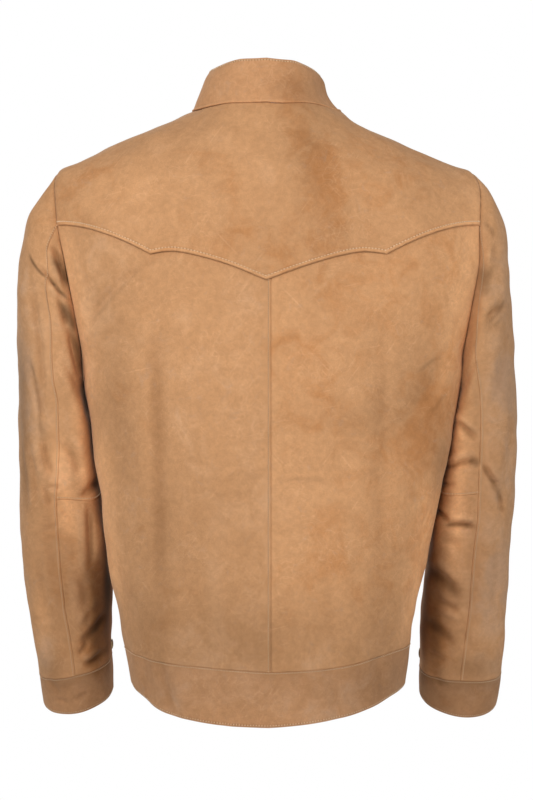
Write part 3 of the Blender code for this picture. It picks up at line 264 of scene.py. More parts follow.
# %% Draw a smooth curve through a table's rows
def smooth(xs, ys, at):
    """A smooth curve through the points (xs, ys) that doesn't overshoot."""
    at = np.clip(at, xs[0], xs[-1])
    steps = np.diff(xs)
    slopes = np.diff(ys) / steps
    tangents = np.zeros(len(ys))
    product = slopes[:-1] * slopes[1:]
    total = slopes[:-1] + slopes[1:]
    rising = product > 0
    tangents[1:-1][rising] = 2 * product[rising] / total[rising]
    tangents[0] = slopes[0]
    tangents[-1] = slopes[-1]
    i = np.clip(np.searchsorted(xs, at, side="right") - 1, 0, len(steps) - 1)
    f = (at - xs[i]) / steps[i]
    near = (1 + 2 * f) * (1 - f) ** 2 * ys[i] + f * (1 - f) ** 2 * steps[i] * tangents[i]
    far = f * f * (3 - 2 * f) * ys[i + 1] - f * f * (1 - f) * steps[i] * tangents[i + 1]
    return near + far


def look_up(table, name, at):
    """A column of a table at these values of its first column."""
    return smooth(next(iter(table.values())), table[name], at)


def stack(*parts):
    return np.stack(np.broadcast_arrays(*parts), axis=-1)


def by_side(values, x):
    return np.where(np.asarray(x) >= 0, values[1], values[-1])


def signed_power(base, power):
    return np.sign(base) * np.abs(base) ** power


def rounded(turn, roundness):
    """Across and along of a rounded square at this turn, each from -1 to 1."""
    angle = np.radians(turn)
    return signed_power(np.sin(angle), 2 / roundness), signed_power(np.cos(angle), 2 / roundness)


def fade(share):
    share = np.clip(share, 0.0, 1.0)
    return share * share * (3 - 2 * share)


# %% The body: sections below, and a turn in to the shoulder ridge above
def section(height, x):
    half_width, more, *rest = [look_up(TORSO, name, height) for name in list(TORSO)[1:]]
    return half_width + np.where(np.asarray(x) < 0, more, 0.0), *rest


def ridge(x, front):
    size = np.sqrt(np.asarray(x, dtype=float) ** 2 + RIDGE_ROUND**2)
    left, right, drop = [look_up(RIDGE, name, size) for name in ("left", "right", "front_drop")]
    return np.where(np.asarray(x) >= 0, left, right) - np.where(front, drop, 0.0)


def flat_depth(x, height, front):
    half_width, back, front_y, widest_y, roundness = section(height, x)
    depth = np.where(front, front_y - widest_y, back - widest_y)
    share = np.clip(np.abs(x) / half_width, 0.0, 1.0)
    return widest_y + depth * (1 - share**roundness) ** (1 / roundness)


def turn_in_power(front):
    return np.where(front, TURN_IN["front"], TURN_IN["back"])


def turned_in(x, height, front):
    power = turn_in_power(front)
    top = ridge(x, front)
    share = np.clip((height - SHOULDER_START) / (top - SHOULDER_START), 0.0, 1.0)
    return (1 - share**power) ** (1 / power)


def body_at(x, height, front):
    y = flat_depth(x, height, front) * turned_in(x, height, front)
    return stack(x, y, height)


def body(turn, height):
    """A point of the body: turn in degrees from centre back, positive to the wearer's left."""
    half_width, back, front_y, widest_y, roundness = section(height, turn)
    across, along = rounded(turn, roundness)
    front = along < 0
    x = half_width * across
    flat = widest_y + np.where(front, widest_y - front_y, back - widest_y) * along
    return stack(x, flat * turned_in(x, height, front), height)


def turn_of(x, height, front):
    half_width, _, _, _, roundness = section(height, x)
    share = np.clip(np.abs(x) / half_width, 0.0, 1.0)
    turn = np.degrees(np.arcsin(share ** (roundness / 2)))
    turn = np.where(front, 180.0 - turn, turn)
    return np.where(np.asarray(x) >= 0, turn, -turn)


print("half width at the underarm:", float(section(UNDERARM, 1.0)[0]))


# %% Over the shoulder: a profile that is 0 on the back, 1 on the ridge and 2 on the front
DEPTH_ROUNDS = 6  # tries that find the height at which the body is this deep


def over_shoulder(x, profile):
    front = profile > 1
    angle = np.radians(90.0) * np.clip(np.where(front, 2 - profile, profile), 0.0, 1.0)
    power = turn_in_power(front)
    climb = np.sin(angle) ** (2 / power)
    below = np.minimum(profile, 0.0) * RUN_BELOW
    height = SHOULDER_START + climb * (ridge(x, front) - SHOULDER_START) + below
    y = flat_depth(x, height, front) * np.cos(angle) ** (2 / power)
    return stack(x, y, height)


def profile_at_height(x, height, front):
    climb = (height - SHOULDER_START) / (ridge(x, front) - SHOULDER_START)
    above = np.degrees(np.arcsin(np.clip(climb, 0.0, 1.0) ** (turn_in_power(front) / 2))) / 90.0
    below = (height - SHOULDER_START) / RUN_BELOW
    profile = np.where(height < SHOULDER_START, below, above)
    return np.where(front, 2 - profile, profile)


def profile_at_depth(x, y):
    front = np.asarray(y) < 0
    power = turn_in_power(front)
    height = ridge(x, front)
    for _ in range(DEPTH_ROUNDS):
        keep = np.clip(y / flat_depth(x, height, front), 0.0, 1.0)
        angle = np.arccos(keep ** (power / 2))
        height = SHOULDER_START + np.sin(angle) ** (2 / power) * (ridge(x, front) - SHOULDER_START)
    profile = np.degrees(angle) / 90.0
    return np.where(front, 2 - profile, profile), height


def neck_plan(turn, out):
    across, along = rounded(turn, NECK_ROUNDNESS)
    x = (by_side(NECK_HALF_WIDTH, across) + out) * across
    return x, np.where(along > 0, NECK_BACK + out, -NECK_FRONT + out) * along


def armhole_x(side, height):
    return look_up(ARMHOLE, "x", height) + (side < 0) * look_up(ARMHOLE, "right_more", height)


def yoke_edge(x):
    """Height of the yoke's lower edge: two arcs a side, which meet in a small nub."""
    size = np.abs(x)
    outer_share = np.clip((YOKE_END[0] - size) / (YOKE_END[0] - YOKE_NUB[0]), 0.0, 1.0)
    outer = YOKE_END[1] + (YOKE_NUB[1] - YOKE_END[1]) * outer_share**YOKE_OUTER_CURVE
    inner_share = np.clip((YOKE_LOBE[0] - size) / YOKE_LOBE[0], 0.0, 1.0)
    inner = YOKE_LOBE[1] + (YOKE_POINT - YOKE_LOBE[1]) * inner_share**YOKE_INNER_CURVE
    rise = np.clip((size - YOKE_LOBE[0]) / (YOKE_NUB[0] - YOKE_LOBE[0]), 0.0, 1.0)
    inner = inner + (YOKE_NUB[1] - YOKE_LOBE[1]) * rise**2
    return np.where(size > YOKE_NUB[0], outer, inner)


def hem_height(turn, name):
    left, right = [look_up(HEM, hand + name, np.abs(turn)) for hand in ("left_", "right_")]
    return np.where(np.asarray(turn) >= 0, left, right)


print("yoke's point at", YOKE_POINT, "hem at", float(hem_height(0.0, "edge")))


# %% The sleeves: an armhole ring that turns into rings of their own
def armhole_place(side, turn):
    """x, height and front or back of the armhole seam: 0 is the shoulder tip, 90 the back."""
    angle = np.radians(turn)
    tip = SLEEVES[side]["outer_z"][0]
    height = (tip + UNDERARM) / 2 + (tip - UNDERARM) / 2 * np.cos(angle)
    return side * armhole_x(side, height), height, np.sin(angle) < 0


def armhole(side, turn):
    return body_at(*armhole_place(side, turn))


def armhole_turn_at_height(side, height):
    tip = SLEEVES[side]["outer_z"][0]
    share = (height - (tip + UNDERARM) / 2) / ((tip - UNDERARM) / 2)
    return math.degrees(math.acos(share))


SEAM_SEARCH = (0.0, 60.0, 601)  # turns from, to and how many


def armhole_turn_at_seam(side, forward=SEAM_FORWARD):
    turns = np.linspace(*SEAM_SEARCH)
    y = armhole(side, -turns)[:, 1]
    return -float(np.interp(forward, -y, turns))


def sleeve_row(side, row):
    rows = np.arange(LAST_ROW + 1)
    return [smooth(rows, values, row) for values in SLEEVES[side].values()]


def sleeve_ring(side, turn, row):
    outer_x, outer_z, inner_x, inner_z, centre_y, half_depth, lean = sleeve_row(side, row)
    behind_arm, across = rounded(turn, SLEEVE_ROUNDNESS)
    bent = ELBOW_FLATNESS * fade((row - FLAT_FROM[0]) / FLAT_FROM[1])
    bent = bent * (1 - fade((row - FLAT_TO[0]) / FLAT_TO[1]))
    roundness = SLEEVE_ROUNDNESS + np.where((across < 0) & (behind_arm > 0), bent, 0.0)
    roundness = roundness - CUFF_FALL * fade(row - CUFF_ROW)
    along = (1 - np.clip(np.abs(across), 0, 1) ** roundness) ** (1 / roundness)
    along = along * np.sign(behind_arm) * half_depth
    tilt = np.radians(lean)
    x = side * ((outer_x + inner_x) / 2 + (outer_x - inner_x) / 2 * across)
    y = centre_y + along * np.cos(tilt)
    z = (outer_z + inner_z) / 2 + (outer_z - inner_z) / 2 * across - along * np.sin(tilt)
    return stack(x, y, z)


def sleeve(side, turn, row):
    """A point of a sleeve: turn in degrees from the outside over the back, and its row."""
    free = sleeve_ring(side, turn, row)
    seat = armhole(side, turn) - sleeve_ring(side, turn, 0.0 * row)
    return free + seat * (1 - fade(row / CAP_ROWS))[..., None]


def seam_turn(side, row, name):
    if name == "front_seam":
        return look_up(SLEEVE_SEAMS, name, row)
    name = name if side > 0 else "right_" + name
    short = armhole_turn_at_height(side, YOKE_END[1]) - SLEEVE_SEAMS[name][0]
    return look_up(SLEEVE_SEAMS, name, row) + short * (1 - fade(row / SEAM_SETTLES))


print("shoulder seam meets the armhole at", round(armhole_turn_at_seam(1), 1), "degrees")


# %% The collar: from the neck seam up to its own smaller ring
BOW_CURVE = 0.7
ROUNDED_FROM, ROUNDED_OVER = 0.66, 0.34  # the upper third, where the ends round off


def collar(turn, share):
    base_x, base_y = neck_plan(turn, 0.0)
    _, base_z = profile_at_depth(base_x, base_y)
    across, along = rounded(turn, NECK_ROUNDNESS)
    top_x = by_side(COLLAR_TOP_HALF_WIDTH, across) * across
    top_y = np.where(along > 0, COLLAR_TOP_BACK, -COLLAR_TOP_FRONT) * along
    rise = COLLAR_HEIGHT - by_side(COLLAR_DROP, across) * (1 - np.abs(along) ** 2)
    bow = by_side(COLLAR_BOW, across) * across * np.sin(np.pi * share**BOW_CURVE)
    end = fade((share - ROUNDED_FROM) / ROUNDED_OVER) ** 2
    bow = bow + by_side(COLLAR_ROUND, across) * across * end
    x = base_x + (top_x - base_x) * share - bow
    y = base_y + (top_y - base_y) * share
    return stack(x, y, base_z + rise * share)


print("collar's top at the back:", round(float(collar(0.0, np.array(1.0))[2]), 4))

# %% [markdown]
# ## Creases
#
# Worn suede keeps soft troughs where it was folded: down the back under the yoke, across the
# inside of the elbow, and above the cuffs. Cloth simulation would give some of them, but not
# these ones. So each is listed between two points, seen from behind or from the front, with a
# valley in the middle and a low swell on both sides. Slow waves with no pattern lie under them,
# because no worn panel is a perfect curve.

# %% The creases, in millimetres as seen from behind (back) or from in front (front)
# Each row is from_x, from_z, to_x, to_z, bow, half_width and depth.
BACK_CREASES = (
    (121, -175, 113, -560, 3, 13.0, -3.0),
    (-120, -180, -117, -560, -4, 13.0, -2.2),
    (196, -236, 127, -166, 6, 5.0, -2.0),
    (190, -255, 150, -212, 4, 9.0, 1.6),
    (-182, -250, -150, -330, 5, 10.0, -1.6),
    (60, -440, 52, -600, 2, 13.0, 1.4),
    (-60, -450, -72, -600, -3, 13.0, -1.6),
    (150, -186, 118, -170, 2, 4.0, -0.8),
    (138, -186, 126, -196, 1, 3.0, -0.6),
    (170, -300, 150, -420, 6, 9.0, -1.2),
    (160, -430, 138, -560, -5, 9.0, -1.3),
    (-165, -400, -138, -560, 6, 9.0, -1.4),
    (-100, -430, -88, -585, -4, 8.0, -1.0),
    (92, -470, 86, -585, 3, 7.0, -0.8),
    (20, -300, 30, -420, 8, 14.0, 0.9),
    (-30, -260, -60, -330, 8, 16.0, -0.9),
    (-90, -250, -60, -300, 5, 8.0, -0.6),
    (-10, -420, -44, -500, 6, 11.0, -0.7),
    (40, -560, 58, -590, 2, 5.0, -0.7),
    (-82, -560, -96, -592, 2, 5.0, -0.8),
)
YOKE_CREASES = (
    (190, -100, 150, -70, 4, 10.0, -0.7),
    (-188, -100, -150, -80, -4, 10.0, -0.8),
    (60, -10, 110, -40, 3, 9.0, -0.6),
    (-52, -8, -112, -46, -3, 9.0, -0.6),
    (-34, -40, -52, -120, 3, 8.0, -0.6),
    (30, -150, 60, -110, 4, 12.0, 0.5),
)
SLEEVE_CREASES = {
    1: (
        (231, -141, 212, -194, 3, 3.6, -5.0),
        (238, -146, 219, -196, 3, 3.4, 1.6),
        (248, -164, 213, -207, 2, 2.6, -3.0),
        (233, -188, 210, -224, 2, 4.5, 2.2),
        (225, -196, 213, -236, 2, 4.2, -5.0),
        (213, -228, 201, -290, 2, 4.4, -5.0),
        (201, -285, 193, -335, 1, 4.0, -3.0),
        (258, -166, 242, -336, 6, 5.0, -2.6),
        (248, -176, 236, -330, 6, 7.0, 1.6),
        (265, -259, 240, -344, 5, 4.5, -2.4),
        (266, -345, 258, -440, 3, 3.2, 1.8),
        (261, -345, 252, -440, 3, 4.0, -1.8),
        (241, -345, 229, -398, -3, 4.5, -3.0),
        (252, -350, 238, -402, -3, 7.0, 2.0),
        (240, -404, 222, -405, 0, 2.8, -2.0),
        (246, -400, 234, -428, 2, 3.8, -2.8),
        (224, -352, 201, -396, 4, 5.5, -2.8),
        (212, -345, 198, -372, 3, 5.0, 1.6),
        (203, -418, 184, -392, -2, 5.0, -4.0),
        (194, -416, 194, -500, 1, 4.0, -3.6),
        (203, -420, 203, -510, 1, 6.0, 2.0),
        (226, -426, 211, -443, 1, 2.4, -1.6),
        (245, -449, 226, -447, -1, 3.0, -2.0),
        (243, -452, 232, -500, 3, 6.0, -1.6),
        (256, -470, 246, -560, 4, 6.0, -2.0),
        (216, -470, 212, -560, 2, 7.0, 1.5),
        (205, -500, 198, -566, 3, 5.0, -2.0),
        (211, -592, 198, -572, -2, 3.4, -3.0),
        (206, -596, 184, -582, -2, 3.6, 2.0),
        (205, -602, 182, -588, -2, 3.2, -2.8),
        (176, -540, 210, -580, 2, 4.0, -3.2),
        (186, -520, 214, -560, 2, 5.0, 1.8),
        (237, -642, 222, -645, 1, 2.6, -2.0),
        (246, -616, 230, -640, 2, 4.0, -2.4),
        (219, -642, 197, -632, -2, 3.6, -1.8),
        (232, -622, 208, -618, 2, 4.5, 1.3),
        (252, -560, 240, -600, 3, 6.0, -1.8),
    ),
    -1: (
        (-229, -228, -253, -207, 3, 4.4, -3.6),
        (-226, -238, -252, -218, 3, 4.6, 1.8),
        (-228, -126, -242, -139, 1, 2.2, -1.6),
        (-242, -142, -233, -168, 2, 5.0, -2.2),
        (-252, -160, -246, -205, 2, 6.0, 1.4),
        (-256, -205, -236, -330, 5, 6.5, -2.0),
        (-262, -300, -254, -400, 3, 5.0, -1.8),
        (-203, -322, -196, -300, 1, 3.6, -2.6),
        (-199, -322, -227, -346, -2, 3.0, 2.0),
        (-202, -332, -225, -356, -2, 4.5, -2.8),
        (-190, -385, -227, -376, 2, 3.4, -4.4),
        (-190, -376, -227, -366, 2, 3.6, 2.2),
        (-228, -374, -250, -406, -3, 3.6, -4.0),
        (-250, -404, -256, -440, -1, 3.4, -3.2),
        (-236, -372, -258, -402, -3, 4.0, 2.0),
        (-185, -401, -203, -401, 0, 3.0, -2.0),
        (-182, -426, -196, -442, -1, 3.2, -4.4),
        (-186, -448, -226, -449, 3, 3.4, -4.4),
        (-190, -438, -228, -441, 2, 3.4, 2.4),
        (-184, -462, -210, -470, 2, 5.0, -2.4),
        (-188, -500, -204, -520, 2, 5.0, -2.0),
        (-179, -529, -210, -543, 2, 4.0, -2.6),
        (-180, -540, -212, -552, 2, 4.5, 1.6),
        (-222, -470, -214, -560, 3, 7.0, -1.6),
        (-246, -450, -240, -560, 4, 7.0, -1.8),
        (-172, -588, -196, -598, 1, 3.6, -2.6),
        (-206, -560, -226, -590, 2, 6.0, -1.5),
        (-246, -575, -226, -606, 3, 5.0, -1.6),
        (-180, -600, -196, -632, -2, 5.0, -2.2),
        (-168, -490, -212, -532, 3, 7.0, -2.6),
        (-166, -550, -208, -582, 3, 6.5, -2.4),
        (-176, -480, -206, -512, 2, 6.0, 1.8),
    ),
}
HEM_CREASES = (
    (118, -560, 96, -650, 2, 6.0, -1.8),
    (104, -570, 84, -650, 2, 6.0, 0.9),
    (50, -590, 46, -660, 1, 5.0, -1.2),
    (0, -600, -8, -655, 1, 6.0, -0.9),
    (-62, -570, -70, -650, 1, 7.0, -1.6),
    (-84, -575, -88, -640, 1, 7.0, 0.8),
    (-112, -560, -116, -625, 1, 6.0, -1.4),
    (132, -560, 128, -620, 1, 6.0, -1.2),
    (24, -590, 20, -650, 1, 7.0, 0.6),
)
FRONT_CREASES = (
    (150, -120, 196, -230, 6, 8.0, -2.0),
    (-146, -118, -192, -236, 6, 8.0, -1.8),
    (70, -60, 120, -150, 6, 12.0, -1.2),
    (-74, -64, -118, -160, 6, 12.0, -1.0),
    (110, -200, 104, -540, 4, 13.0, -2.2),
    (-108, -210, -112, -540, -4, 13.0, -2.6),
    (170, -320, 140, -540, 8, 9.0, -1.6),
    (-172, -330, -140, -540, -6, 9.0, -1.4),
    (44, -380, 40, -560, 3, 10.0, -1.2),
    (-46, -360, -38, -560, -3, 10.0, -1.0),
    (20, -150, 40, -250, 4, 10.0, 0.8),
)
SLEEVE_FRONT_CREASES = {
    1: (
        (252, -150, 206, -236, 5, 8.0, -3.2),
        (262, -300, 200, -360, 6, 6.0, -3.4),
        (258, -350, 196, -392, 5, 5.5, -3.6),
        (256, -404, 194, -420, 4, 5.0, -3.2),
        (250, -452, 196, -462, 4, 5.5, -2.6),
        (244, -500, 200, -520, 3, 6.0, -1.8),
        (250, -220, 216, -290, 6, 9.0, -1.8),
        (238, -560, 200, -584, 3, 4.5, -1.8),
    ),
    -1: (
        (-250, -156, -206, -240, -5, 8.0, -3.0),
        (-262, -310, -204, -352, -6, 6.0, -3.2),
        (-258, -356, -196, -400, -5, 5.5, -3.6),
        (-256, -410, -194, -430, -4, 5.0, -3.0),
        (-250, -460, -192, -470, -4, 5.5, -2.6),
        (-246, -506, -194, -530, -3, 6.0, -1.8),
        (-250, -226, -220, -300, -6, 9.0, -1.8),
        (-240, -566, -194, -590, -3, 4.5, -1.8),
    ),
}
CREASE_ENDS = 0.32  # share of a crease's length over which each end dies away
FLANK = 0.35  # how far the leather swells beside a valley
FLANK_WIDTH = 2.4
print(len(BACK_CREASES), "creases on the back,", sum(map(len, SLEEVE_CREASES.values())), "on the sleeves")


# %% How far a table of creases moves the surface
MM = 1000.0  # the tables of creases and colour are in millimetres
BEHIND_FROM, BEHIND_OVER = -0.075, 0.05  # from this depth on, what is placed from behind counts
WAVES = ((0.0009, 0.090, 3), (0.00035, 0.034, 5))  # height, length and seed
WAVE_COUNT, WAVE_LENGTHS = 28, (0.7, 1.6)


def behind(points):
    return fade((points[..., 1] - BEHIND_FROM) / BEHIND_OVER)


def creases(table, points, flank=FLANK):
    """Metres that the creases of a table raise the surface at these points."""
    x, z = points[..., 0] * MM, points[..., 2] * MM
    total = np.zeros(x.shape)
    for x0, z0, x1, z1, bow, half_width, depth in table:
        length = math.hypot(x1 - x0, z1 - z0)
        share = ((x - x0) * (x1 - x0) + (z - z0) * (z1 - z0)) / length**2
        off = ((x - x0) * (z1 - z0) - (z - z0) * (x1 - x0)) / length
        off = (off - bow * 4 * share * (1 - share)) / half_width
        ends = fade(share / CREASE_ENDS) * fade((1 - share) / CREASE_ENDS)
        shape = (1 + flank) * np.exp(-(off**2)) - flank * np.exp(-((off / FLANK_WIDTH) ** 2))
        total += depth * ends * shape
    return total / MM


def slow_waves(points, size, seed, count=WAVE_COUNT):
    """A field of slow waves with no pattern, between about -1 and 1."""
    rng = np.random.default_rng(seed)
    directions = rng.normal(size=(count, 3))
    directions /= np.linalg.norm(directions, axis=1, keepdims=True)
    lengths = size * rng.uniform(*WAVE_LENGTHS, count)
    phases = rng.uniform(0, 2 * math.pi, count)
    total = np.zeros(points.shape[:-1])
    for direction, length, phase in zip(directions, lengths, phases):
        total += np.sin(points @ direction * (2 * math.pi / length) + phase)
    return total / math.sqrt(count / 2)


def creased(points, back_table, front_table):
    share = behind(points)
    return share * creases(back_table, points) + (1 - share) * creases(front_table, points)


def waved(points):
    return sum(height * slow_waves(points, length, seed) for height, length, seed in WAVES)


print("waves at the centre back:", round(float(waved(np.array([0.0, 0.13, -0.4]))) * MM, 2), "mm")

# %% [markdown]
# ## Colour in patches
#
# No hide is dyed evenly, and this one less than most: the left back is paler and the right one more
# orange. The lower back, the hem band and the cuffs are darker towards the bottom. Some patches are
# painted shade and painted sheen: the lower sleeves are painted darker beside the body, which
# shades them, and greyer strips down the sleeves' outer sides are a painted sheen. Each is a soft
# oval with a tone (darker or lighter) and a warmth (greyer or more orange), placed as seen from
# behind, in millimetres.

# %% Soft ovals of tone and warmth
PATCHES = (  # x, z, half_x, half_z, lean, tone, warmth
    (-45, -60, 24, 95, -12, -0.13, 0.80),
    (-30, 20, 40, 18, 0, -0.10, 0.10),
    (150, -92, 50, 30, 15, 0.05, 0.05),
    (-150, -100, 70, 40, -15, -0.01, 0.15),
    (0, -150, 70, 30, 0, -0.05, 0.25),
    (70, -250, 75, 80, 0, 0.03, -0.25),
    (-60, -230, 60, 60, 0, -0.02, 0.20),
    (-165, -300, 45, 60, 15, -0.13, 0.60),
    (-90, -330, 60, 28, 5, -0.08, 0.40),
    (160, -330, 30, 110, -6, -0.10, 0.35),
    (40, -560, 120, 50, 0, -0.13, -0.20),
    (70, -450, 70, 80, 0, -0.07, -0.05),
    (-60, -560, 110, 50, 0, -0.08, -0.20),
    (-120, -520, 30, 90, 0, -0.12, 0.10),
    (120, -520, 28, 90, 0, -0.10, 0.25),
    (0, -620, 160, 34, 0, -0.07, -0.35),
    (-118, -612, 50, 34, -8, -0.11, -0.25),
    (125, -612, 50, 34, 8, -0.05, -0.15),
    # painted shade: the lower sleeves darker beside the body, which shades them
    (225, -520, 45, 110, 0, -0.16, 0.10),
    (184, -560, 20, 90, 4, -0.06, 0.95),
    (-225, -520, 45, 110, 0, -0.14, -0.20),
    (-182, -560, 20, 90, -4, -0.08, 0.80),
    # painted sheen: greyer down the left sleeve's outer side
    (266, -290, 22, 170, 0, -0.08, -1.00),
    # painted sheen: a greyer spot low on the left sleeve's outer side
    (248, -592, 14, 34, 16, -0.06, -1.20),
    (240, -606, 16, 16, 0, -0.18, 0.00),
    (-228, -606, 34, 17, 0, -0.22, 0.00),
    (212, -390, 24, 80, 0, 0.00, -0.60),
    (-204, -400, 20, 90, 0, 0.00, -0.45),
    # painted sheen: greyer down the right sleeve's outer side, above and below
    (-252, -290, 28, 190, 0, -0.11, -1.20),
    (-250, -540, 30, 100, 0, 0.02, -0.50),
)
# Painted light and shade on the back, placed like creases: lighter along most of the body's edges, where
# the light falls off, and darker along fine creases and low on the right edge.
BACK_PAINTED_LIGHT_AND_SHADE = (  # like creases, with a tone in place of a depth
    (226, -100, 184, -350, 2, 17.0, 0.26),
    (186, -310, 158, -560, 0, 14.0, 0.27),
    (-236, -40, -186, -360, -6, 22.0, 0.20),
    (-188, -340, -174, -420, 0, 9.0, -0.12),
    (-178, -370, -140, -600, 0, 14.0, 0.30),
    (192, -236, 130, -172, 1, 2.0, -0.09),
    (144, -186, 128, -172, 1, 2.0, -0.08),
    (-4, -392, -66, -394, 2, 2.3, -0.10),
    (-150, -286, -184, -262, 2, 2.3, -0.12),
    (-168, -330, -190, -300, 2, 2.3, -0.12),
)
# Painted light and shade on the sleeves, placed like creases: darker in fold valleys, down the left
# sleeve's outer edge and beside the body, which shades them, and lighter over the elbows.
SLEEVE_PAINTED_LIGHT_AND_SHADE = {
    1: (
        (232, -154, 211, -196, 2, 4.0, -0.40),
        (223, -203, 205, -242, 3, 4.6, -0.42),
        (207, -228, 194, -322, 2, 4.4, -0.42),
        (256, -150, 230, -184, -4, 1.5, -0.42),
        (234, -178, 209, -205, -2, 1.5, -0.46),
        (226, -335, 214, -480, 0, 12.0, 0.27),
        (203, -290, 195, -440, 0, 7.0, 0.24),
        (176, -450, 175, -660, 0, 5.5, -0.62),
        (190, -455, 187, -640, 0, 10.0, -0.34),
        (266, -220, 262, -460, 0, 7.0, -0.20),
        (246, -330, 238, -356, 1, 5.0, -0.14),
        (252, -500, 246, -620, 2, 8.0, 0.10),
        (174, -538, 210, -582, 2, 4.5, -0.22),
        (174, -580, 208, -606, 2, 4.0, -0.20),
        (258, -250, 244, -360, 4, 2.0, -0.16),
    ),
    -1: (
        (-226, -160, -230, -206, 0, 7.0, -0.24),
        (-214, -374, -228, -380, 0, 4.6, -0.26),
        (-226, -119, -242, -139, 1, 1.8, -0.22),
        (-244, -150, -228, -186, 2, 4.0, -0.12),
        (-240, -392, -254, -424, 0, 4.2, -0.20),
        (-204, -280, -204, -520, 0, 9.0, 0.24),
        (-170, -450, -168, -660, 0, 5.5, -0.58),
        (-184, -440, -182, -640, 0, 10.0, -0.26),
        (-254, -200, -226, -232, 3, 2.6, -0.26),
        (-164, -486, -216, -536, 3, 8.0, -0.18),
        (-162, -546, -210, -584, 3, 7.0, -0.16),
        (-186, -448, -228, -449, 3, 2.6, -0.24),
    ),
}
PANEL_TINTS = {  # tone and warmth of a whole piece
    "back_left": (-0.03, -0.20),
    "back_right": (0.01, 0.14),
    "back_yoke": (-0.02, 0.05),
    "collar": (0.06, 0.0),
    "cuff_left": (-0.12, -0.30),
    "cuff_right": (-0.17, -0.40),
}
DARKEST = -0.85


def tinted(points, name):
    """Tone and warmth at these points, with the painted light and shade of the back and sleeves."""
    x, z = points[..., 0] * MM, points[..., 2] * MM
    shown = behind(points)
    tone_and_painted_light, warmth = (np.full(x.shape, base) for base in PANEL_TINTS.get(name, (0.0, 0.0)))
    for px, pz, half_x, half_z, lean, more_tone, more_warmth in PATCHES:
        angle = math.radians(lean)
        across = ((x - px) * math.cos(angle) + (z - pz) * math.sin(angle)) / half_x
        along = ((z - pz) * math.cos(angle) - (x - px) * math.sin(angle)) / half_z
        share = shown * np.exp(-(across**2 + along**2))
        tone_and_painted_light += more_tone * share
        warmth += more_warmth * share
    shades = ()
    if name.startswith("back_"):
        shades = BACK_PAINTED_LIGHT_AND_SHADE
    elif name.startswith(("top_sleeve", "under_sleeve", "cuff")):
        shades = SLEEVE_PAINTED_LIGHT_AND_SHADE[1 if name.endswith("left") else -1]
    # painted light and shade along the back's edges, in the sleeves' folds and beside the body
    tone_and_painted_light += shown * creases(shades, points, 0.0) * MM
    return np.maximum(tone_and_painted_light, DARKEST), warmth


print(len(PATCHES), "patches of colour")

# %% [markdown]
# ## One wall of leather
#
# Each piece is a sheet of points, a little over 2 mm apart, with closer lines along its edges so
# that a seam can roll in. Thickness comes from a Solidify modifier, which is how a panel of even
# thickness is made. The grid also keeps how near each point is to a seam and how deep it lies in
# a crease, for the suede to read.

# %% Grids with closer lines along the edges
STEP = 0.0026
FINE_STEP = STEP * 0.82  # for the sleeves, which are the most creased
HIDDEN_STEP = STEP * 1.5  # for the fronts
GRID_EDGES = (("bottom", 0, False), ("top", 0, True), ("left", 1, False), ("right", 1, True))
NEAR = (0.0, 0.0007, 0.0014, 0.0022, 0.0031, 0.0040, 0.0050, 0.0062)


def stations(length, breaks=(), step=STEP):
    """Shares of an edge of this length at which the grid's lines stand."""
    near = np.array(NEAR) / length
    middle = np.linspace(near[-1], 1 - near[-1], max(2, int(length / step)))
    made = np.concatenate((near[:-1], middle, 1 - near[:-1][::-1]))
    for share in breaks:
        made[np.argmin(np.abs(made - share))] = share
    return np.sort(made)


def edge(runs, ends):
    """A function from share to place along several runs, with each corner at its own share."""
    places, shares = [], []
    for run, low, high in zip(runs, ends[:-1], ends[1:]):
        run = np.asarray(run, dtype=float)
        along = np.concatenate(([0.0], np.cumsum(np.hypot(*np.diff(run, axis=0).T))))
        shares.append(low + (high - low) * along / along[-1])
        places.append(run)
    shares = np.concatenate(shares)
    places = np.concatenate(places)
    return lambda v: np.stack([np.interp(v, shares, places[:, k]) for k in range(2)], axis=-1)


def fill(bottom, top, left, right, u, v):
    """The flat grid inside four edges, at the shares u across and v up."""
    across = u[None, :, None]
    up = v[:, None, None]
    low, high = bottom(u)[None], top(u)[None]
    near, far = left(v)[:, None], right(v)[:, None]
    corners = (1 - up) * ((1 - across) * low[:, :1] + across * low[:, -1:])
    corners = corners + up * ((1 - across) * high[:, :1] + across * high[:, -1:])
    return (1 - up) * low + up * high + (1 - across) * near + across * far - corners


TINY = 1e-12  # keeps a length from being zero


def unit(vectors):
    return vectors / np.maximum(np.linalg.norm(vectors, axis=-1, keepdims=True), TINY)


def normals_of(points, inside):
    normals = unit(np.cross(np.gradient(points, axis=0), np.gradient(points, axis=1)))
    return normals * np.sign(np.sum(normals * (points - np.array(inside))))


def from_edges(points):
    """Distance of every point from the bottom, top, left and right edge, along the grid."""
    made = {}
    for name, axis, back in GRID_EDGES:
        lines = np.moveaxis(points, axis, 0)
        lines = lines[::-1] if back else lines
        steps = np.linalg.norm(np.diff(lines, axis=0), axis=-1)
        along = np.concatenate((np.zeros((1, steps.shape[1])), np.cumsum(steps, axis=0)))
        along = along[::-1] if back else along
        made[name] = np.moveaxis(along, 0, axis)
    return made


print("a 300 mm edge has", len(stations(0.3)), "lines")

# %% [markdown]
# ## Seams
#
# A plain seam sinks into a groove. A stitched seam has a second row beside it, and the turned
# allowance underneath lifts the strip between seam and row. A lapped edge, like the yoke's, is
# folded under and stitched, so it ends in a thick rounded lip. The others are simpler: flush
# where the neighbour is the one that is stitched, rolled at the collar's foot, tucked under the
# collar, and open at a free edge. One table holds them all, as strips and dents over the panel.

# %% The cross section of each kind of edge, as a height over the panel
LIP_ROW = 0.0046  # from a lapped edge to its stitches
SEAM_ROW = 0.0026
FLUSH_ROW = 0.0014
EDGE_ROW = 0.0022
# A strip is its height, how far it reaches, and over what length it ends.
EDGE_STRIPS = {
    "stitched": (0.0004, SEAM_ROW + 0.0004, 0.0014),
    "lapped": (0.0009, LIP_ROW - 0.0014, 0.0014),
}
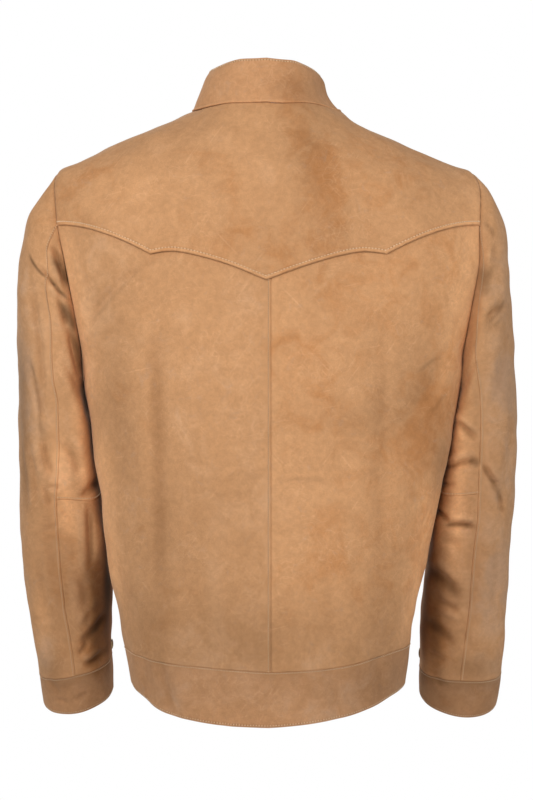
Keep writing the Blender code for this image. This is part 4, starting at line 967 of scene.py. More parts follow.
# A dent or a roll is its height, its distance from the edge, and its width.
EDGE_DENTS = {
    "plain": ((-0.0004, 0.0, 0.0040), (-0.0004, 0.0, 0.0009)),
    "stitched": ((-0.0003, SEAM_ROW, 0.0008), (-0.0005, 0.0, 0.0006)),
    "lapped": ((-0.0007, LIP_ROW, 0.0011), (-0.0013, 0.0, 0.0009)),
    "flush": ((-0.0004, 0.0, 0.0007),),
    "rolled": ((0.0011, 0.0013, 0.0011), (-0.0004, 0.0, 0.0005)),
    "tucked": ((-0.0008, 0.0, 0.0010),),
    "open": ((-0.0007, 0.0, 0.0010), (-0.0004, EDGE_ROW, 0.0009)),
}
# A painted shade darkens the leather along each kind of edge, where its groove or lip shades it: how fast
# it fades, and how dark it is by kind.
SHADE_WIDTH = 0.0009
EDGE_PAINTED_SHADE = {
    "plain": 0.4,
    "stitched": 0.12,
    "lapped": 0.45,
    "flush": 0.12,
    "rolled": 0.30,
    "tucked": 0.85,
    "open": 0.1,
}
# A raised lip gets a painted highlight: how far it reaches, and by how much.
EDGE_PAINTED_HIGHLIGHTS = {"lapped": (LIP_ROW - 0.0008, 0.10), "stitched": (SEAM_ROW, 0.05), "rolled": (0.0026, 0.10)}
TONE_OVER = 0.0008


def edge_shape(kind, d):
    height, reach, over = EDGE_STRIPS.get(kind, (0.0, 0.0, 1.0))
    made = height * (1 - fade((d - reach) / over))
    for height, place, width in EDGE_DENTS[kind]:
        made = made + height * np.exp(-(((d - place) / width) ** 2))
    return made


print("kinds of edge:", ", ".join(EDGE_DENTS))


# %% Make a piece from its grid
PIECES = {}
GRIDS = {}
ARMHOLE_SINK = 0.0015  # depth of the groove round an armhole
GROOVE_WIDTH = 0.0021
EDGES_CLEAR = 0.004  # a piece's other edges die away this near an armhole
CREASES_CLEAR = 0.006
CREASES_LOST = 0.8  # and so does this share of its creases


def put(name, data):
    made = bpy.data.objects.new(name, data)
    bpy.context.scene.collection.objects.link(made)
    return made


def mesh_from(name, verts, faces):
    mesh = bpy.data.meshes.new(name)
    mesh.from_pydata(verts.reshape(-1, 3).tolist(), [], faces.tolist())
    mesh.shade_smooth()
    return mesh


def grid_faces(rows, columns, flip):
    i = np.arange((rows - 1) * columns).reshape(rows - 1, columns)[:, :-1].ravel()
    faces = np.stack((i, i + 1, i + columns + 1, i + columns), axis=-1)
    return faces[:, ::-1] if flip else faces


RING_TURNS = (0.0, 360.0, 361)


def armhole_groove(side, points):
    """Both pieces at an armhole sink towards the ring's middle, so that they stay together."""
    ring = armhole(side, np.linspace(*RING_TURNS))
    middle = ring.mean(axis=0)
    flat = points.reshape(-1, 3)
    near = np.full(len(flat), 1.0)
    for place in ring:
        near = np.minimum(near, np.linalg.norm(flat - place, axis=-1))
    near = near.reshape(points.shape[:-1])
    sink = ARMHOLE_SINK * np.exp(-((near / GROOVE_WIDTH) ** 2))
    return unit(middle - points) * sink[..., None], near


def leather_piece(name, points, inside, thickness, edges, tables=((), ()), lift=0.0, ring_side=0):
    """A named wall of leather through a grid of points, creased, and rolled in at its edges."""
    normals = normals_of(points, inside)
    near = from_edges(points)
    moved = creased(points, *tables) + waved(points) + lift
    rolled = sum(edge_shape(kind, near[where]) for where, kind in edges.items())
    # a painted shade along each edge, kept as the mark seam
    shade = [EDGE_PAINTED_SHADE[kind] * np.exp(-near[where] / SHADE_WIDTH) for where, kind in edges.items()]
    seam = np.max(shade, axis=0) if edges else 0.0 * moved
    offset = 0.0
    for side in (1, -1):
        if ring_side in (side, 2):
            sink, ring_near = armhole_groove(side, points)
            rolled = rolled * (1 - np.exp(-((ring_near / EDGES_CLEAR) ** 2)))
            moved = moved * (1 - CREASES_LOST * np.exp(-((ring_near / CREASES_CLEAR) ** 2)))
            offset = offset + sink
            # and a painted shade round the armhole's seam
            seam = np.maximum(seam, np.exp(-ring_near / SHADE_WIDTH))
    points = points + normals * (moved + rolled)[..., None] + offset
    outward = np.cross(points[0, 1] - points[0, 0], points[1, 0] - points[0, 0])
    faces = grid_faces(*points.shape[:2], bool(outward @ normals[0, 0] < 0))
    mesh = mesh_from(name + "_leather", points, faces)
    # seam steers a painted shade at the edges; fold steers a painted shade in crease valleys and a
    # painted highlight on their ridges
    marks = {"seam": seam, "fold": creased(points, *tables) * MM}
    marks["tone_and_painted_light"], marks["warmth"] = tinted(points, name)
    # a painted highlight on each raised lip
    for where, kind in edges.items():
        reach, lip_highlight = EDGE_PAINTED_HIGHLIGHTS.get(kind, (0.0, 0.0))
        marks["tone_and_painted_light"] = marks["tone_and_painted_light"] + lip_highlight * (1 - fade((near[where] - reach) / TONE_OVER))
    for label, values in marks.items():
        layer = mesh.attributes.new(label, "FLOAT", "POINT")
        layer.data.foreach_set("value", values.ravel().astype(np.float32))
    made = put(name + "_leather", mesh)
    wall = made.modifiers.new("thickness", "SOLIDIFY")
    wall.thickness = thickness
    wall.offset = -1.0
    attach(made, "jacket")
    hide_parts(name)
    PIECES[name] = made
    GRIDS[name] = (points, normals_of(points, inside))
    length = np.linalg.norm(np.diff(points, axis=0), axis=-1).sum(axis=0).max()
    cells = np.cross(np.diff(points, axis=0)[:, :-1], np.diff(points, axis=1)[:-1])


BODY_MIDDLE = (0.0, 0.0, -0.4)
CHEST_MIDDLE = (0.0, 0.0, -0.15)
NECK_MIDDLE = (0.0, 0.0, 0.0)
SHARES = np.linspace(0.0, 1.0, 161)


def between(start, end):
    return start + (end - start) * SHARES


def flat_place(x, height, front):
    return stack(np.abs(turn_of(x, height, front)) * TURN_RUN, height)


def on_body(side, chart):
    return body(side * chart[..., 0] / TURN_RUN, chart[..., 1])


# %% [markdown]
# ## The back
#
# Two halves meet in a seam down the middle. Each runs from the hem band up under the yoke, which
# is laid over it and stitched down. The side seams lie under the arms.

# %% The two halves of the back
SEAM_ASIDE = 0.0022  # the centre seam sits a little to the right, and the yoke's point to the left
ASIDE_WIDTH = 0.03
BACK_WIDTH, BACK_LENGTH = 0.24, 0.46
BACK_CORNERS = (0.6, 0.97)  # shares of the outer edge at the underarm and under the yoke


def near_centre(points):
    return np.exp(-((points[..., 0] / ASIDE_WIDTH) ** 2))


def side_seam(side, turn):
    low = float(hem_height(side * turn, "seam")) + HALF_GAP
    return stack(turn * TURN_RUN, between(low, UNDERARM))


def above_band(side, start, end):
    turns = between(start, end)
    return stack(turns * TURN_RUN, hem_height(side * turns, "seam") + HALF_GAP)


def along_armhole(side, start, end):
    return flat_place(*armhole_place(side, between(start, end)))


def straight_up(x, low, high, front):
    return flat_place(x + 0 * SHARES, between(low, high), front)


def back_half(side, name):
    yoke_turn = float(seam_turn(side, 0.0, "back_seam"))
    top = YOKE_END[1] + UNDERLAP
    corner_x = float(armhole_x(side, top)) - UNDERLAP / 4
    armhole_run = along_armhole(side, 180.0, yoke_turn)
    corner = flat_place(side * corner_x, top, False)
    outer_runs = (side_seam(side, 90.0 - SIDE_INSET), armhole_run, [armhole_run[-1], corner])
    x = corner_x * (1 - SHARES)
    under_yoke = flat_place(side * x, yoke_edge(x) + UNDERLAP, False)
    low = float(hem_height(0.0, "seam")) + HALF_GAP
    lower_centre = straight_up(0.0, low, UNDERARM, False)
    upper_centre = straight_up(0.0, UNDERARM, float(yoke_edge(0.0)) + UNDERLAP, False)
    centre_turn = float(lower_centre[0, 0]) / TURN_RUN
    chart = fill(
        edge((above_band(side, 90.0 - SIDE_INSET, centre_turn),), (0, 1)),
        edge((under_yoke,), (0, 1)),
        edge(outer_runs, (0, *BACK_CORNERS, 1)),
        edge((lower_centre, upper_centre), (0, BACK_CORNERS[0], 1)),
        stations(BACK_WIDTH),
        stations(BACK_LENGTH, BACK_CORNERS),
    )
    edges = {"bottom": "flush", "left": "plain", "right": "stitched" if side > 0 else "flush"}
    tables = (BACK_CREASES, FRONT_CREASES)
    points = on_body(side, chart)
    points[..., 0] -= SEAM_ASIDE * near_centre(points)
    leather_piece(name, points, BODY_MIDDLE, LEATHER, edges, tables, ring_side=side)


back_half(1, "back_left")
back_half(-1, "back_right")

# %% [markdown]
# ## The yoke
#
# The yoke is one piece over both shoulders. Its lower edge is cut in two arcs a side, with a nub
# where they meet and a point at centre back. It lies 2.4 mm proud, so that its lip throws the
# thin dark line that shows its shape. A painted highlight on the lip and a painted shade at its
# very edge add to that line.

# %% The yoke
CORNER_SEARCH = (60.0, 130.0, 701)  # turns from, to and how many


def neck_corner_turn(side):
    turns = np.linspace(*CORNER_SEARCH)
    _, y = neck_plan(side * turns, COLLAR_SEAT)
    return float(np.interp(SEAM_FORWARD, -y, turns))


NECK_TURN_PLACE = (-0.080, 0.002, 0.0015)  # the right shoulder's ridge runs into the neck here
NECK_TURN_REACH = 0.012
NECK_TURN_ROUNDS = 60
YOKE_WIDTH, YOKE_LENGTH = 0.46, 0.20
YOKE_CORNERS = (0.25, 0.5, 0.75)
POINT_REACH = 0.03  # how far up the yoke its point is moved aside
LIFT_REACH = 0.022  # how far up the yoke it lies proud


def ease_grid(points, place, reach):
    """Evens out a grid's cells round one place, so that none folds over."""
    near = np.exp(-(((points - np.array(place)) / reach) ** 2).sum(axis=-1))[1:-1, 1:-1, None]
    for _ in range(NECK_TURN_ROUNDS):
        around = (points[2:, 1:-1] + points[:-2, 1:-1] + points[1:-1, 2:] + points[1:-1, :-2]) / 4
        points[1:-1, 1:-1] += near * (around - points[1:-1, 1:-1])


def yoke_half(side):
    """Lower lobes, shoulder seam with neck edge, and armhole edge of one side."""
    lobes = []
    for start, end in ((YOKE_END[0], YOKE_NUB[0]), (YOKE_NUB[0], 0.0)):
        x = between(start, end)
        profile = profile_at_height(side * x, yoke_edge(x), False)
        lobes.append(stack(side * x, profile * PROFILE_RUN))
    first = float(seam_turn(side, 0.0, "back_seam"))
    last = armhole_turn_at_seam(side, SEAM_FORWARD - SHOULDER_GAP / 2)
    x, height, front = armhole_place(side, between(first, last))
    armhole_edge = stack(x, profile_at_height(x, height, front) * PROFILE_RUN)
    corner = neck_corner_turn(side)
    xs = between(x[-1], float(neck_plan(side * corner, COLLAR_SEAT)[0]))
    profile, _ = profile_at_depth(xs, np.full(len(xs), -SEAM_FORWARD + SHOULDER_GAP / 2))
    shoulder = stack(xs, profile * PROFILE_RUN)
    neck_x, neck_y = neck_plan(side * corner * (1 - SHARES), COLLAR_SEAT)
    neck = stack(neck_x, profile_at_depth(neck_x, neck_y)[0] * PROFILE_RUN)
    return lobes, shoulder, neck, armhole_edge


def back_yoke():
    (outer_l, inner_l), shoulder_l, neck_l, armhole_l = yoke_half(1)
    (outer_r, inner_r), shoulder_r, neck_r, armhole_r = yoke_half(-1)
    ends = (0, *YOKE_CORNERS, 1)
    chart = fill(
        edge((outer_l, inner_l, inner_r[::-1], outer_r[::-1]), ends),
        edge((shoulder_l, neck_l, neck_r[::-1], shoulder_r[::-1]), ends),
        edge((armhole_l,), (0, 1)),
        edge((armhole_r,), (0, 1)),
        stations(YOKE_WIDTH, YOKE_CORNERS),
        stations(YOKE_LENGTH),
    )
    points = over_shoulder(chart[..., 0], chart[..., 1] / PROFILE_RUN)
    ease_grid(points, NECK_TURN_PLACE, NECK_TURN_REACH)
    near_point = 1 - fade(from_edges(points)["bottom"] / POINT_REACH)
    points[..., 0] += SEAM_ASIDE * near_point * near_centre(points)
    lift = YOKE_LIFT * (1 - fade(from_edges(points)["bottom"] / LIFT_REACH))
    edges = {"bottom": "lapped", "top": "tucked"}
    tables = (YOKE_CREASES, YOKE_CREASES)
    leather_piece("back_yoke", points, CHEST_MIDDLE, LEATHER, edges, tables, lift, ring_side=2)


back_yoke()

# %% [markdown]
# ## The fronts
#
# Each front runs from the side seam to the zip and up to the shoulder seam, which lies just in
# front of the ridge. The edge along the zip is turned under and stitched.

# %% The two fronts
FRONT_WIDTH, FRONT_LENGTH = 0.24, 0.54
FRONT_CORNERS = (0.5, 0.667)  # shares of the outer edge at the underarm and the sleeve's seam
FRONT_NECK = 0.75  # share of the zip's edge at which the neck begins


def zip_edge_turn(half_width):
    share = (ZIP_HALF_GAP / half_width) ** (NECK_ROUNDNESS / 2)
    return 180.0 - math.degrees(math.asin(share))


def front(side, name):
    shoulder_y = -SEAM_FORWARD - SHOULDER_GAP / 2
    seam_here = armhole_turn_at_seam(side, SEAM_FORWARD + SHOULDER_GAP / 2)
    front_seam = float(seam_turn(side, 0.0, "front_seam"))
    outer = edge(
        (side_seam(side, 90.0 + SIDE_INSET), along_armhole(side, 180.0, front_seam),
         along_armhole(side, front_seam, 360.0 + seam_here)),
        (0, *FRONT_CORNERS, 1),
    )
    corner = neck_corner_turn(side)
    start = float(armhole_place(side, seam_here)[0])
    xs = between(start, float(neck_plan(side * corner, COLLAR_SEAT)[0]))
    shoulder = flat_place(xs, profile_at_depth(xs, np.full(len(xs), shoulder_y))[1], True)
    base = zip_edge_turn(NECK_HALF_WIDTH[side] + COLLAR_SEAT)
    x, y = neck_plan(side * between(base, corner), COLLAR_SEAT)
    neck = flat_place(x, profile_at_depth(x, np.minimum(y, shoulder_y))[1], True)
    low = float(hem_height(180.0, "seam")) + HALF_GAP
    zip_edge = straight_up(side * ZIP_HALF_GAP, low, float(neck[0, 1]), True)
    chart = fill(
        edge((above_band(side, 90.0 + SIDE_INSET, float(zip_edge[0, 0]) / TURN_RUN),), (0, 1)),
        edge((shoulder,), (0, 1)),
        outer,
        edge((zip_edge, neck), (0, FRONT_NECK, 1)),
        stations(FRONT_WIDTH, (), HIDDEN_STEP),
        stations(FRONT_LENGTH, (*FRONT_CORNERS, FRONT_NECK), HIDDEN_STEP),
    )
    edges = {"bottom": "flush", "left": "plain", "right": "stitched", "top": "stitched"}
    tables = (YOKE_CREASES, FRONT_CREASES)
    leather_piece(name, on_body(side, chart), BODY_MIDDLE, LEATHER, edges, tables, ring_side=side)


front(1, "front_left")
front(-1, "front_right")

# %% [markdown]
# ## Hem band and collar
#
# Both are bands of two layers. The hem band is joined at the side seams, the collar is one piece
# from zip to zip. Both are stitched near their seam and near their free edge.

# %% The hem band in three stretches
BAND_RADIUS = 0.15
BAND_WIDTH = 0.056
COLLAR_LENGTH = 0.48


def hem_band(name, start, end):
    length = abs(math.radians(end - start)) * BAND_RADIUS
    turns = (start + (end - start) * stations(length))[None, :]
    share = stations(BAND_WIDTH)[:, None]
    low = hem_height(turns, "edge")
    high = hem_height(turns, "seam") - HALF_GAP
    points = body(turns + 0 * share, low + (high - low) * share)
    edges = {"bottom": "open", "top": "flush", "left": "plain", "right": "plain"}
    leather_piece(name, points, BODY_MIDDLE, DOUBLE, edges, (HEM_CREASES, FRONT_CREASES))


hem_band("hem_band_back", SIDE_INSET - 90.0, 90.0 - SIDE_INSET)
for side, name in ((1, "hem_band_left"), (-1, "hem_band_right")):
    last = float(turn_of(side * ZIP_HALF_GAP, hem_height(180.0, "edge"), True))
    hem_band(name, side * (90.0 + SIDE_INSET), last)


# %% The collar
def stand_collar():
    last = zip_edge_turn(NECK_HALF_WIDTH[-1])
    turns = (-last + 2 * last * stations(COLLAR_LENGTH))[None, :]
    share = stations(COLLAR_HEIGHT)[:, None]
    points = collar(turns + 0 * share, share + 0 * turns)
    edges = {"bottom": "rolled", "top": "open", "left": "stitched", "right": "stitched"}
    leather_piece("collar", points, NECK_MIDDLE, DOUBLE, edges)


stand_collar()

# %% [markdown]
# ## The sleeves
#
# A two-piece sleeve has a top half over the outside of the arm and an under half inside it, so it
# can bend forward as an arm does. The under half has one more seam at the elbow. The cuff is a
# double band.

# %% Top sleeves, under sleeves and cuffs
RUN_ROWS = 60
RUN_TURN = 90.0
SLEEVE_MIDDLE = (0.232, -0.03)
SLEEVE_PLANS = {  # width and edges of each piece
    "top_sleeve": (0.22, {"top": "flush", "left": "plain", "right": "stitched"}),
    "under_sleeve_upper": (0.14, {"left": "flush", "right": "plain", "top": "stitched"}),
    "under_sleeve_lower": (0.14, {"left": "flush", "right": "plain", "bottom": "flush", "top": "flush"}),
    "cuff": (0.26, {"bottom": "flush", "top": "open", "left": "plain", "right": "plain"}),
}


def sleeve_run(side, first, last):
    """Length of a sleeve between two rows, down its back."""
    line = sleeve(side, np.full(RUN_ROWS, RUN_TURN), np.linspace(first, last, RUN_ROWS))
    return float(np.linalg.norm(np.diff(line, axis=0), axis=-1).sum())


def sleeve_piece(side, name, rows, start, end, width, thickness, edges):
    half_depth = sleeve_row(side, rows)[SLEEVE_COLUMNS.split().index("half_depth")]
    inset = np.degrees(LONG_SEAM_GAP / 2 / half_depth)
    first = (start + inset)[:, None]
    last = (end - inset)[:, None]
    turn = first + (last - first) * stations(width, (), FINE_STEP)[None, :]
    points = sleeve(side, turn, rows[:, None] + 0 * turn)
    inside = (side * SLEEVE_MIDDLE[0], SLEEVE_MIDDLE[1], float(points[..., 2].mean()))
    tables = (SLEEVE_CREASES[side], SLEEVE_FRONT_CREASES[side])
    ring_side = side if rows[0] == 0 else 0
    leather_piece(name, points, inside, thickness, edges, tables, ring_side=ring_side)


def sleeve_pieces(side, word):
    joint = ELBOW_ROW[side]
    spans = {
        "top_sleeve": (0.0, CUFF_ROW - ROW_GAP),
        "under_sleeve_upper": (0.0, joint - ROW_GAP),
        "under_sleeve_lower": (joint + ROW_GAP, CUFF_ROW - ROW_GAP),
        "cuff": (CUFF_ROW + ROW_GAP, LAST_ROW),
    }
    for piece, (low, high) in spans.items():
        width, edges = SLEEVE_PLANS[piece]
        rows = low + (high - low) * stations(sleeve_run(side, low, high), (), FINE_STEP)
        back, ahead = seam_turn(side, rows, "back_seam"), seam_turn(side, rows, "front_seam")
        start = back if piece.startswith("under") else ahead - 360.0
        end = back if piece == "top_sleeve" else ahead
        thickness = DOUBLE if piece == "cuff" else LEATHER
        sleeve_piece(side, f"{piece}_{word}", rows, start, end, width, thickness, edges)


sleeve_pieces(1, "left")
sleeve_pieces(-1, "right")

# %% [markdown]
# ## Stitching
#
# Each row of stitches lies a set distance inside its piece's edge, sunk half into the leather.
# The thread is a heavy one, paler than the suede. Between two stitches a small dark square, lifted
# just over the leather, is a painted shadow of the needle's hole. One small shape, repeated along a
# path, is how a machine makes it, and all of one group's stitches are one mesh.

# %% Paths inside an edge, and stitches along them
THREAD = 0.00056  # half a thread's thickness
HOLE_SHADOW = 0.00050  # half a needle hole's width
HOLE_SHADOW_LIFT = 0.00012
STITCH_SHARE = 0.58  # of the pitch
STITCH_SIDES = 5
STITCH_RINGS = (  # place along the stitch, thickness, height
    (-0.5, 0.25, -0.9),
    (-0.34, 0.85, 0.1),
    (0.0, 1.0, 0.6),
    (0.34, 0.85, 0.1),
    (0.5, 0.25, -0.9),
)
SQUARE = ((-1, -1), (1, -1), (1, 1), (-1, 1))
LOOK_AHEAD = 0.0004  # each stitch points at the path's place this far ahead
STITCHES = {}


def line_inside(name, where, distance):
    """The path this far inside an edge of a piece, with its normals."""
    points, normals = GRIDS[name]
    near = from_edges(points)[where]
    axis = 0 if where in ("bottom", "top") else 1
    near, places, ups = (np.moveaxis(values, axis, 0) for values in (near, points, normals))
    if where in ("top", "right"):
        near, places, ups = near[::-1], places[::-1], ups[::-1]

    def at_distance(values):
        lines = ((near[:, k], values[:, k]) for k in range(values.shape[1]))
        return np.array([[np.interp(distance, d, line[:, i]) for i in range(3)] for d, line in lines])

    return at_distance(places), at_distance(ups)


def resample(path, normal, pitch):
    run = np.concatenate(([0.0], np.cumsum(np.linalg.norm(np.diff(path, axis=0), axis=1))))
    at = np.arange(pitch / 2, run[-1] - pitch / 2, pitch)

    def at_run(values, where):
        return np.stack([np.interp(where, run, values[:, i]) for i in range(3)], axis=-1)

    middle = at_run(path, at)
    return middle, at_run(normal, at), unit(at_run(path, at + LOOK_AHEAD) - middle)


def tube_faces(rings, sides):
    """Faces round a tube of this many rings."""
    turns = [(i, (i + 1) % sides) for i in range(sides)]
    starts = [sides * j for j in range(rings - 1)]
    return [(low + i, low + sides + i, low + sides + k, low + k) for low in starts for i, k in turns]


def stitch_shape(length, weight):
    """One stitch lying along X: rings of points, sunk at both ends."""
    angles = np.linspace(0, 2 * math.pi, STITCH_SIDES, endpoint=False)
    thick = THREAD * weight
    made = [(x * length, r * thick * math.cos(a), r * thick * math.sin(a) + z * thick)
            for x, r, z in STITCH_RINGS for a in angles]
    return np.array(made), np.array(tube_faces(len(STITCH_RINGS), STITCH_SIDES))


def hole_shadow_shape(pitch):
    """A painted shadow of the needle's hole between two stitches: a small dark square, lifted just over
    the leather.
    """
    made = [(pitch / 2 + x * HOLE_SHADOW, y * HOLE_SHADOW, HOLE_SHADOW_LIFT) for x, y in SQUARE]
    return np.array(made), np.array([(0, 1, 2, 3)])


def sew(group, paths, pitch, weight):
    shapes = (stitch_shape(pitch * STITCH_SHARE, weight), hole_shadow_shape(pitch))
    made = [([], []), ([], [])]
    count = 0
    for path, normal in paths:
        middle, up, along = resample(path, normal, pitch)
        up = unit(up - along * np.sum(up * along, axis=-1, keepdims=True))
        across = np.cross(up, along)
        for m, a, c, u in zip(middle, along, across, up):
            for (shape, quads), (places, faces) in zip(shapes, made):
                places.append(m + shape[:, :1] * a + shape[:, 1:2] * c + shape[:, 2:] * u)
                faces.append(quads + count * len(shape))
            count += 1
    rows = [(np.concatenate(places), np.concatenate(faces)) for places, faces in made]
    STITCHES.setdefault(group, []).append(rows)
    return count


def knot_off(group):
    """Turn a group's rows into one piece: thread first, then the painted shadows of the holes."""
    offset, places, faces, kinds = 0, [], [], []
    for rows in STITCHES[group]:
        for kind, (verts, quads) in enumerate(rows):
            places.append(verts)
            faces.append(quads + offset)
            kinds.append(np.full(len(quads), kind))
            offset += len(verts)
    mesh = mesh_from(group, np.concatenate(places), np.concatenate(faces))
    mesh.polygons.foreach_set("material_index", np.concatenate(kinds).astype(np.int32))
    made = put(group, mesh)
    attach(made, "jacket")
    PIECES[group] = made
    print(group, len(faces) // 2, "rows,", len(mesh.polygons), "faces")


# %% Sew the body, the front and the sleeves
FINE = 0.62  # weight of a thin thread
BANDS = ("hem_band_back", "hem_band_left", "hem_band_right")
ZIP_SIDES = ("front_left", "front_right", "hem_band_left", "hem_band_right", "collar")
ELBOWS = ("under_sleeve_upper_left", "under_sleeve_upper_right")
SEWN = (  # group, edge, distance from it, pitch, weight of the thread, pieces
    ("body_stitches", "bottom", LIP_ROW, 0.0034, 1.15, ("back_yoke",)),
    ("body_stitches", "right", SEAM_ROW, 0.0024, FINE, ("back_left",)),
    ("body_stitches", "top", FLUSH_ROW, 0.0029, FINE, BANDS),
    ("body_stitches", "bottom", EDGE_ROW, 0.0029, FINE, BANDS),
    ("body_stitches", "top", EDGE_ROW, 0.0031, 0.9, ("collar",)),
    ("body_stitches", "right", SEAM_ROW, 0.0030, FINE, ZIP_SIDES),
    ("body_stitches", "left", SEAM_ROW, 0.0030, FINE, ("collar",)),
    ("body_stitches", "top", SEAM_ROW, 0.0030, FINE, ("front_left", "front_right")),
    ("sleeve_stitches", "right", SEAM_ROW, 0.0027, FINE, ("top_sleeve_left", "top_sleeve_right")),
    ("sleeve_stitches", "top", SEAM_ROW, 0.0030, 0.85, ELBOWS),
    ("sleeve_stitches", "bottom", FLUSH_ROW, 0.0027, FINE, ("cuff_left", "cuff_right")),
    ("sleeve_stitches", "top", EDGE_ROW, 0.0027, FINE, ("cuff_left", "cuff_right")),
)
sewn = 0
for group, where, distance, pitch, weight, names in SEWN:
    sewn += sew(group, [line_inside(name, where, distance) for name in names], pitch, weight)
for group in list(STITCHES):
    knot_off(group)
print(sewn, "stitches")

# %% [markdown]
# ## The zip
#
# The zip runs down the hidden front. Its tapes are woven cloth, thinner than leather, with metal
# teeth along the middle. Above the slider the teeth part a little. Slider, pull and snaps keep
# the rigid model's shape.

# %% The tapes
TAPE_THICK = 0.0009
TAPE_WIDTH = 0.0130
TAPE_HALF_GAP = 0.0003
TAPE_INSIDE = DOUBLE + 0.0006
TAPE_INSIDE_COLLAR = DOUBLE + 0.0020
TAPE_END = 0.002
TAPE_COLLAR_SHARE = 0.94
TAPE_LINES, TAPE_ROWS = 9, 200
TAPE_COLLAR_ROWS, TAPE_COLLAR_SKIP = 24, 4  # the collar's first rows are left out, where the tape bends


def tape(side, name):
    xs = TAPE_HALF_GAP + TAPE_WIDTH * np.linspace(0, 1, TAPE_LINES)
    turns = 180.0 - np.degrees(np.arcsin((xs / NECK_HALF_WIDTH[side]) ** (NECK_ROUNDNESS / 2)))
    low = float(hem_height(180.0, "edge")) + TAPE_END
    base = float(collar(180.0, np.array(0.0))[2])
    heights = np.linspace(low, base - TAPE_END, TAPE_ROWS)[:, None]
    body_part = body_at(side * xs[None, :] + 0 * heights, heights + 0 * xs[None, :], True)
    shares = np.linspace(0, TAPE_COLLAR_SHARE, TAPE_COLLAR_ROWS)[TAPE_COLLAR_SKIP:, None]
    collar_part = collar(side * turns[None, :] + 0 * shares, shares + 0 * turns[None, :])
    points = np.concatenate((body_part, collar_part))
    points[..., 0] = side * xs
    inside = np.full(len(points), TAPE_INSIDE)
    inside[TAPE_ROWS:] = TAPE_INSIDE_COLLAR
    points = points - normals_of(points, BODY_MIDDLE) * inside[:, None, None]
    points[..., 0] = side * xs
    leather_piece(name, points, BODY_MIDDLE, TAPE_THICK, {})


tape(1, "zip_tape_left")
tape(-1, "zip_tape_right")

# %% The teeth, two a pitch, one on each side
TOOTH_PITCH = 0.0026
TOOTH_SECTIONS = (  # place across, half length, half depth, from the head to the foot
    (-0.0012, 0.00045, 0.0007),
    (-0.0002, 0.00070, 0.0010),
    (0.0010, 0.00055, 0.0009),
    (0.0024, 0.00070, 0.0008),
)
TEETH_OUT = 0.0008
TEETH_APART = 0.0001
PARTED, PARTED_OVER, PARTED_CURVE = 0.0016, 0.02, 1.5  # how the teeth part above the slider


def tooth_shape(side):
    """A tooth with a rounded head towards the middle and a wide foot on the tape."""
    made = [(x * side, sy * h, sz * d) for x, h, d in TOOTH_SECTIONS for sy, sz in SQUARE]
    near, far = range(len(SQUARE)), range(len(made) - len(SQUARE), len(made))
    faces = tube_faces(len(TOOTH_SECTIONS), len(SQUARE)) + [tuple(near)[::-1], tuple(far)]
    return np.array(made), np.array(faces)


def zip_path():
    """Middle of the zip from hem to collar: places, directions up and outwards."""
    halves = [GRIDS["zip_tape_" + word] for word in ("left", "right")]
    middle = (halves[0][0][:, 0] + halves[1][0][:, 0]) / 2
    out = halves[0][1][:, 0] + halves[1][1][:, 0]
    out[:, 0] = 0
    return middle, unit(out)


def zip_teeth():
    middle, out = zip_path()
    places, faces = [], []
    for side in (1, -1):
        shape, shape_faces = tooth_shape(side)
        shift = TOOTH_PITCH / 2 if side < 0 else 0.0
        for m, u, a in zip(*resample(middle, out, TOOTH_PITCH)):
            m = m + a * shift + u * TEETH_OUT
            parted = min(1.0, max(0.0, (m[2] - SLIDER_TOP) / PARTED_OVER)) ** PARTED_CURVE
            m = m + np.array([side * (TEETH_APART + PARTED * parted), 0, 0])
            across, along, outwards = shape[:, :1], shape[:, 1:2], shape[:, 2:]
            places.append(m + across * np.array([1.0, 0, 0]) + along * a + outwards * u)
            faces.append(shape_faces + (len(places) - 1) * len(shape))
    mesh = mesh_from("zip_teeth", np.concatenate(places), np.concatenate(faces))
    mesh.shade_flat()
    made = put("zip_teeth", mesh)
    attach(made, "jacket")
    PIECES["zip_teeth"] = made
    print(len(places), "teeth")


SLIDER_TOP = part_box("zip_slider")[1][2]
zip_teeth()

# %% [markdown]
# ## Materials
#
# Suede is leather's brushed flesh side. Its nap takes dye unevenly, lies in all directions, and
# scatters light towards the rim of every fold. So the colour is built from several sizes of
# mottling, the grain comes from a fine bump, and a sheen gives the pale rim. The marks kept on
# each piece steer painted light and shade: crease valleys and seams are painted darker and
# warmer, crease ridges paler, and the painted shade in the tone turns warmer where it is darkest.

# %% Helpers for node materials
def new_material(name):
    made = bpy.data.materials.new(name)
    made.use_nodes = True
    tree = made.node_tree
    return made, tree, tree.nodes["Principled BSDF"]


def plug(tree, made, inputs):
    """Links or sets a node's inputs. On a shader, a constant is set on its own socket."""
    for key, value in inputs.items():
        if isinstance(value, bpy.types.NodeSocket):
            tree.links.new(value, made.inputs[key])
        else:
            made.inputs[key].default_value = value


def node(tree, kind, inputs=None, **settings):
    made = tree.nodes.new("ShaderNode" + kind)
    for key, value in settings.items():
        setattr(made, key, value)
    plug(tree, made, inputs or {})
    return made


def noise(tree, place, scale, detail=3.0, roughness=0.5, distortion=0.0):
    made = node(tree, "TexNoise", {"Vector": place, "Scale": scale, "Detail": detail,
                                   "Roughness": roughness, "Distortion": distortion})
    return made.outputs["Fac"]


def spread(tree, value, low, high, to_low=0.0, to_high=1.0):
    inputs = {0: value, 1: low, 2: high, 3: to_low, 4: to_high}
    return node(tree, "MapRange", inputs, interpolation_type="SMOOTHSTEP").outputs[0]


def mix(tree, share, a, b, blend="MIX"):
    made = node(tree, "Mix", {0: share, 6: a, 7: b}, data_type="RGBA", blend_type=blend)
    return made.outputs[2]


def maths(tree, operation, a, b):
    return node(tree, "Math", {0: a, 1: b}, operation=operation).outputs[0]


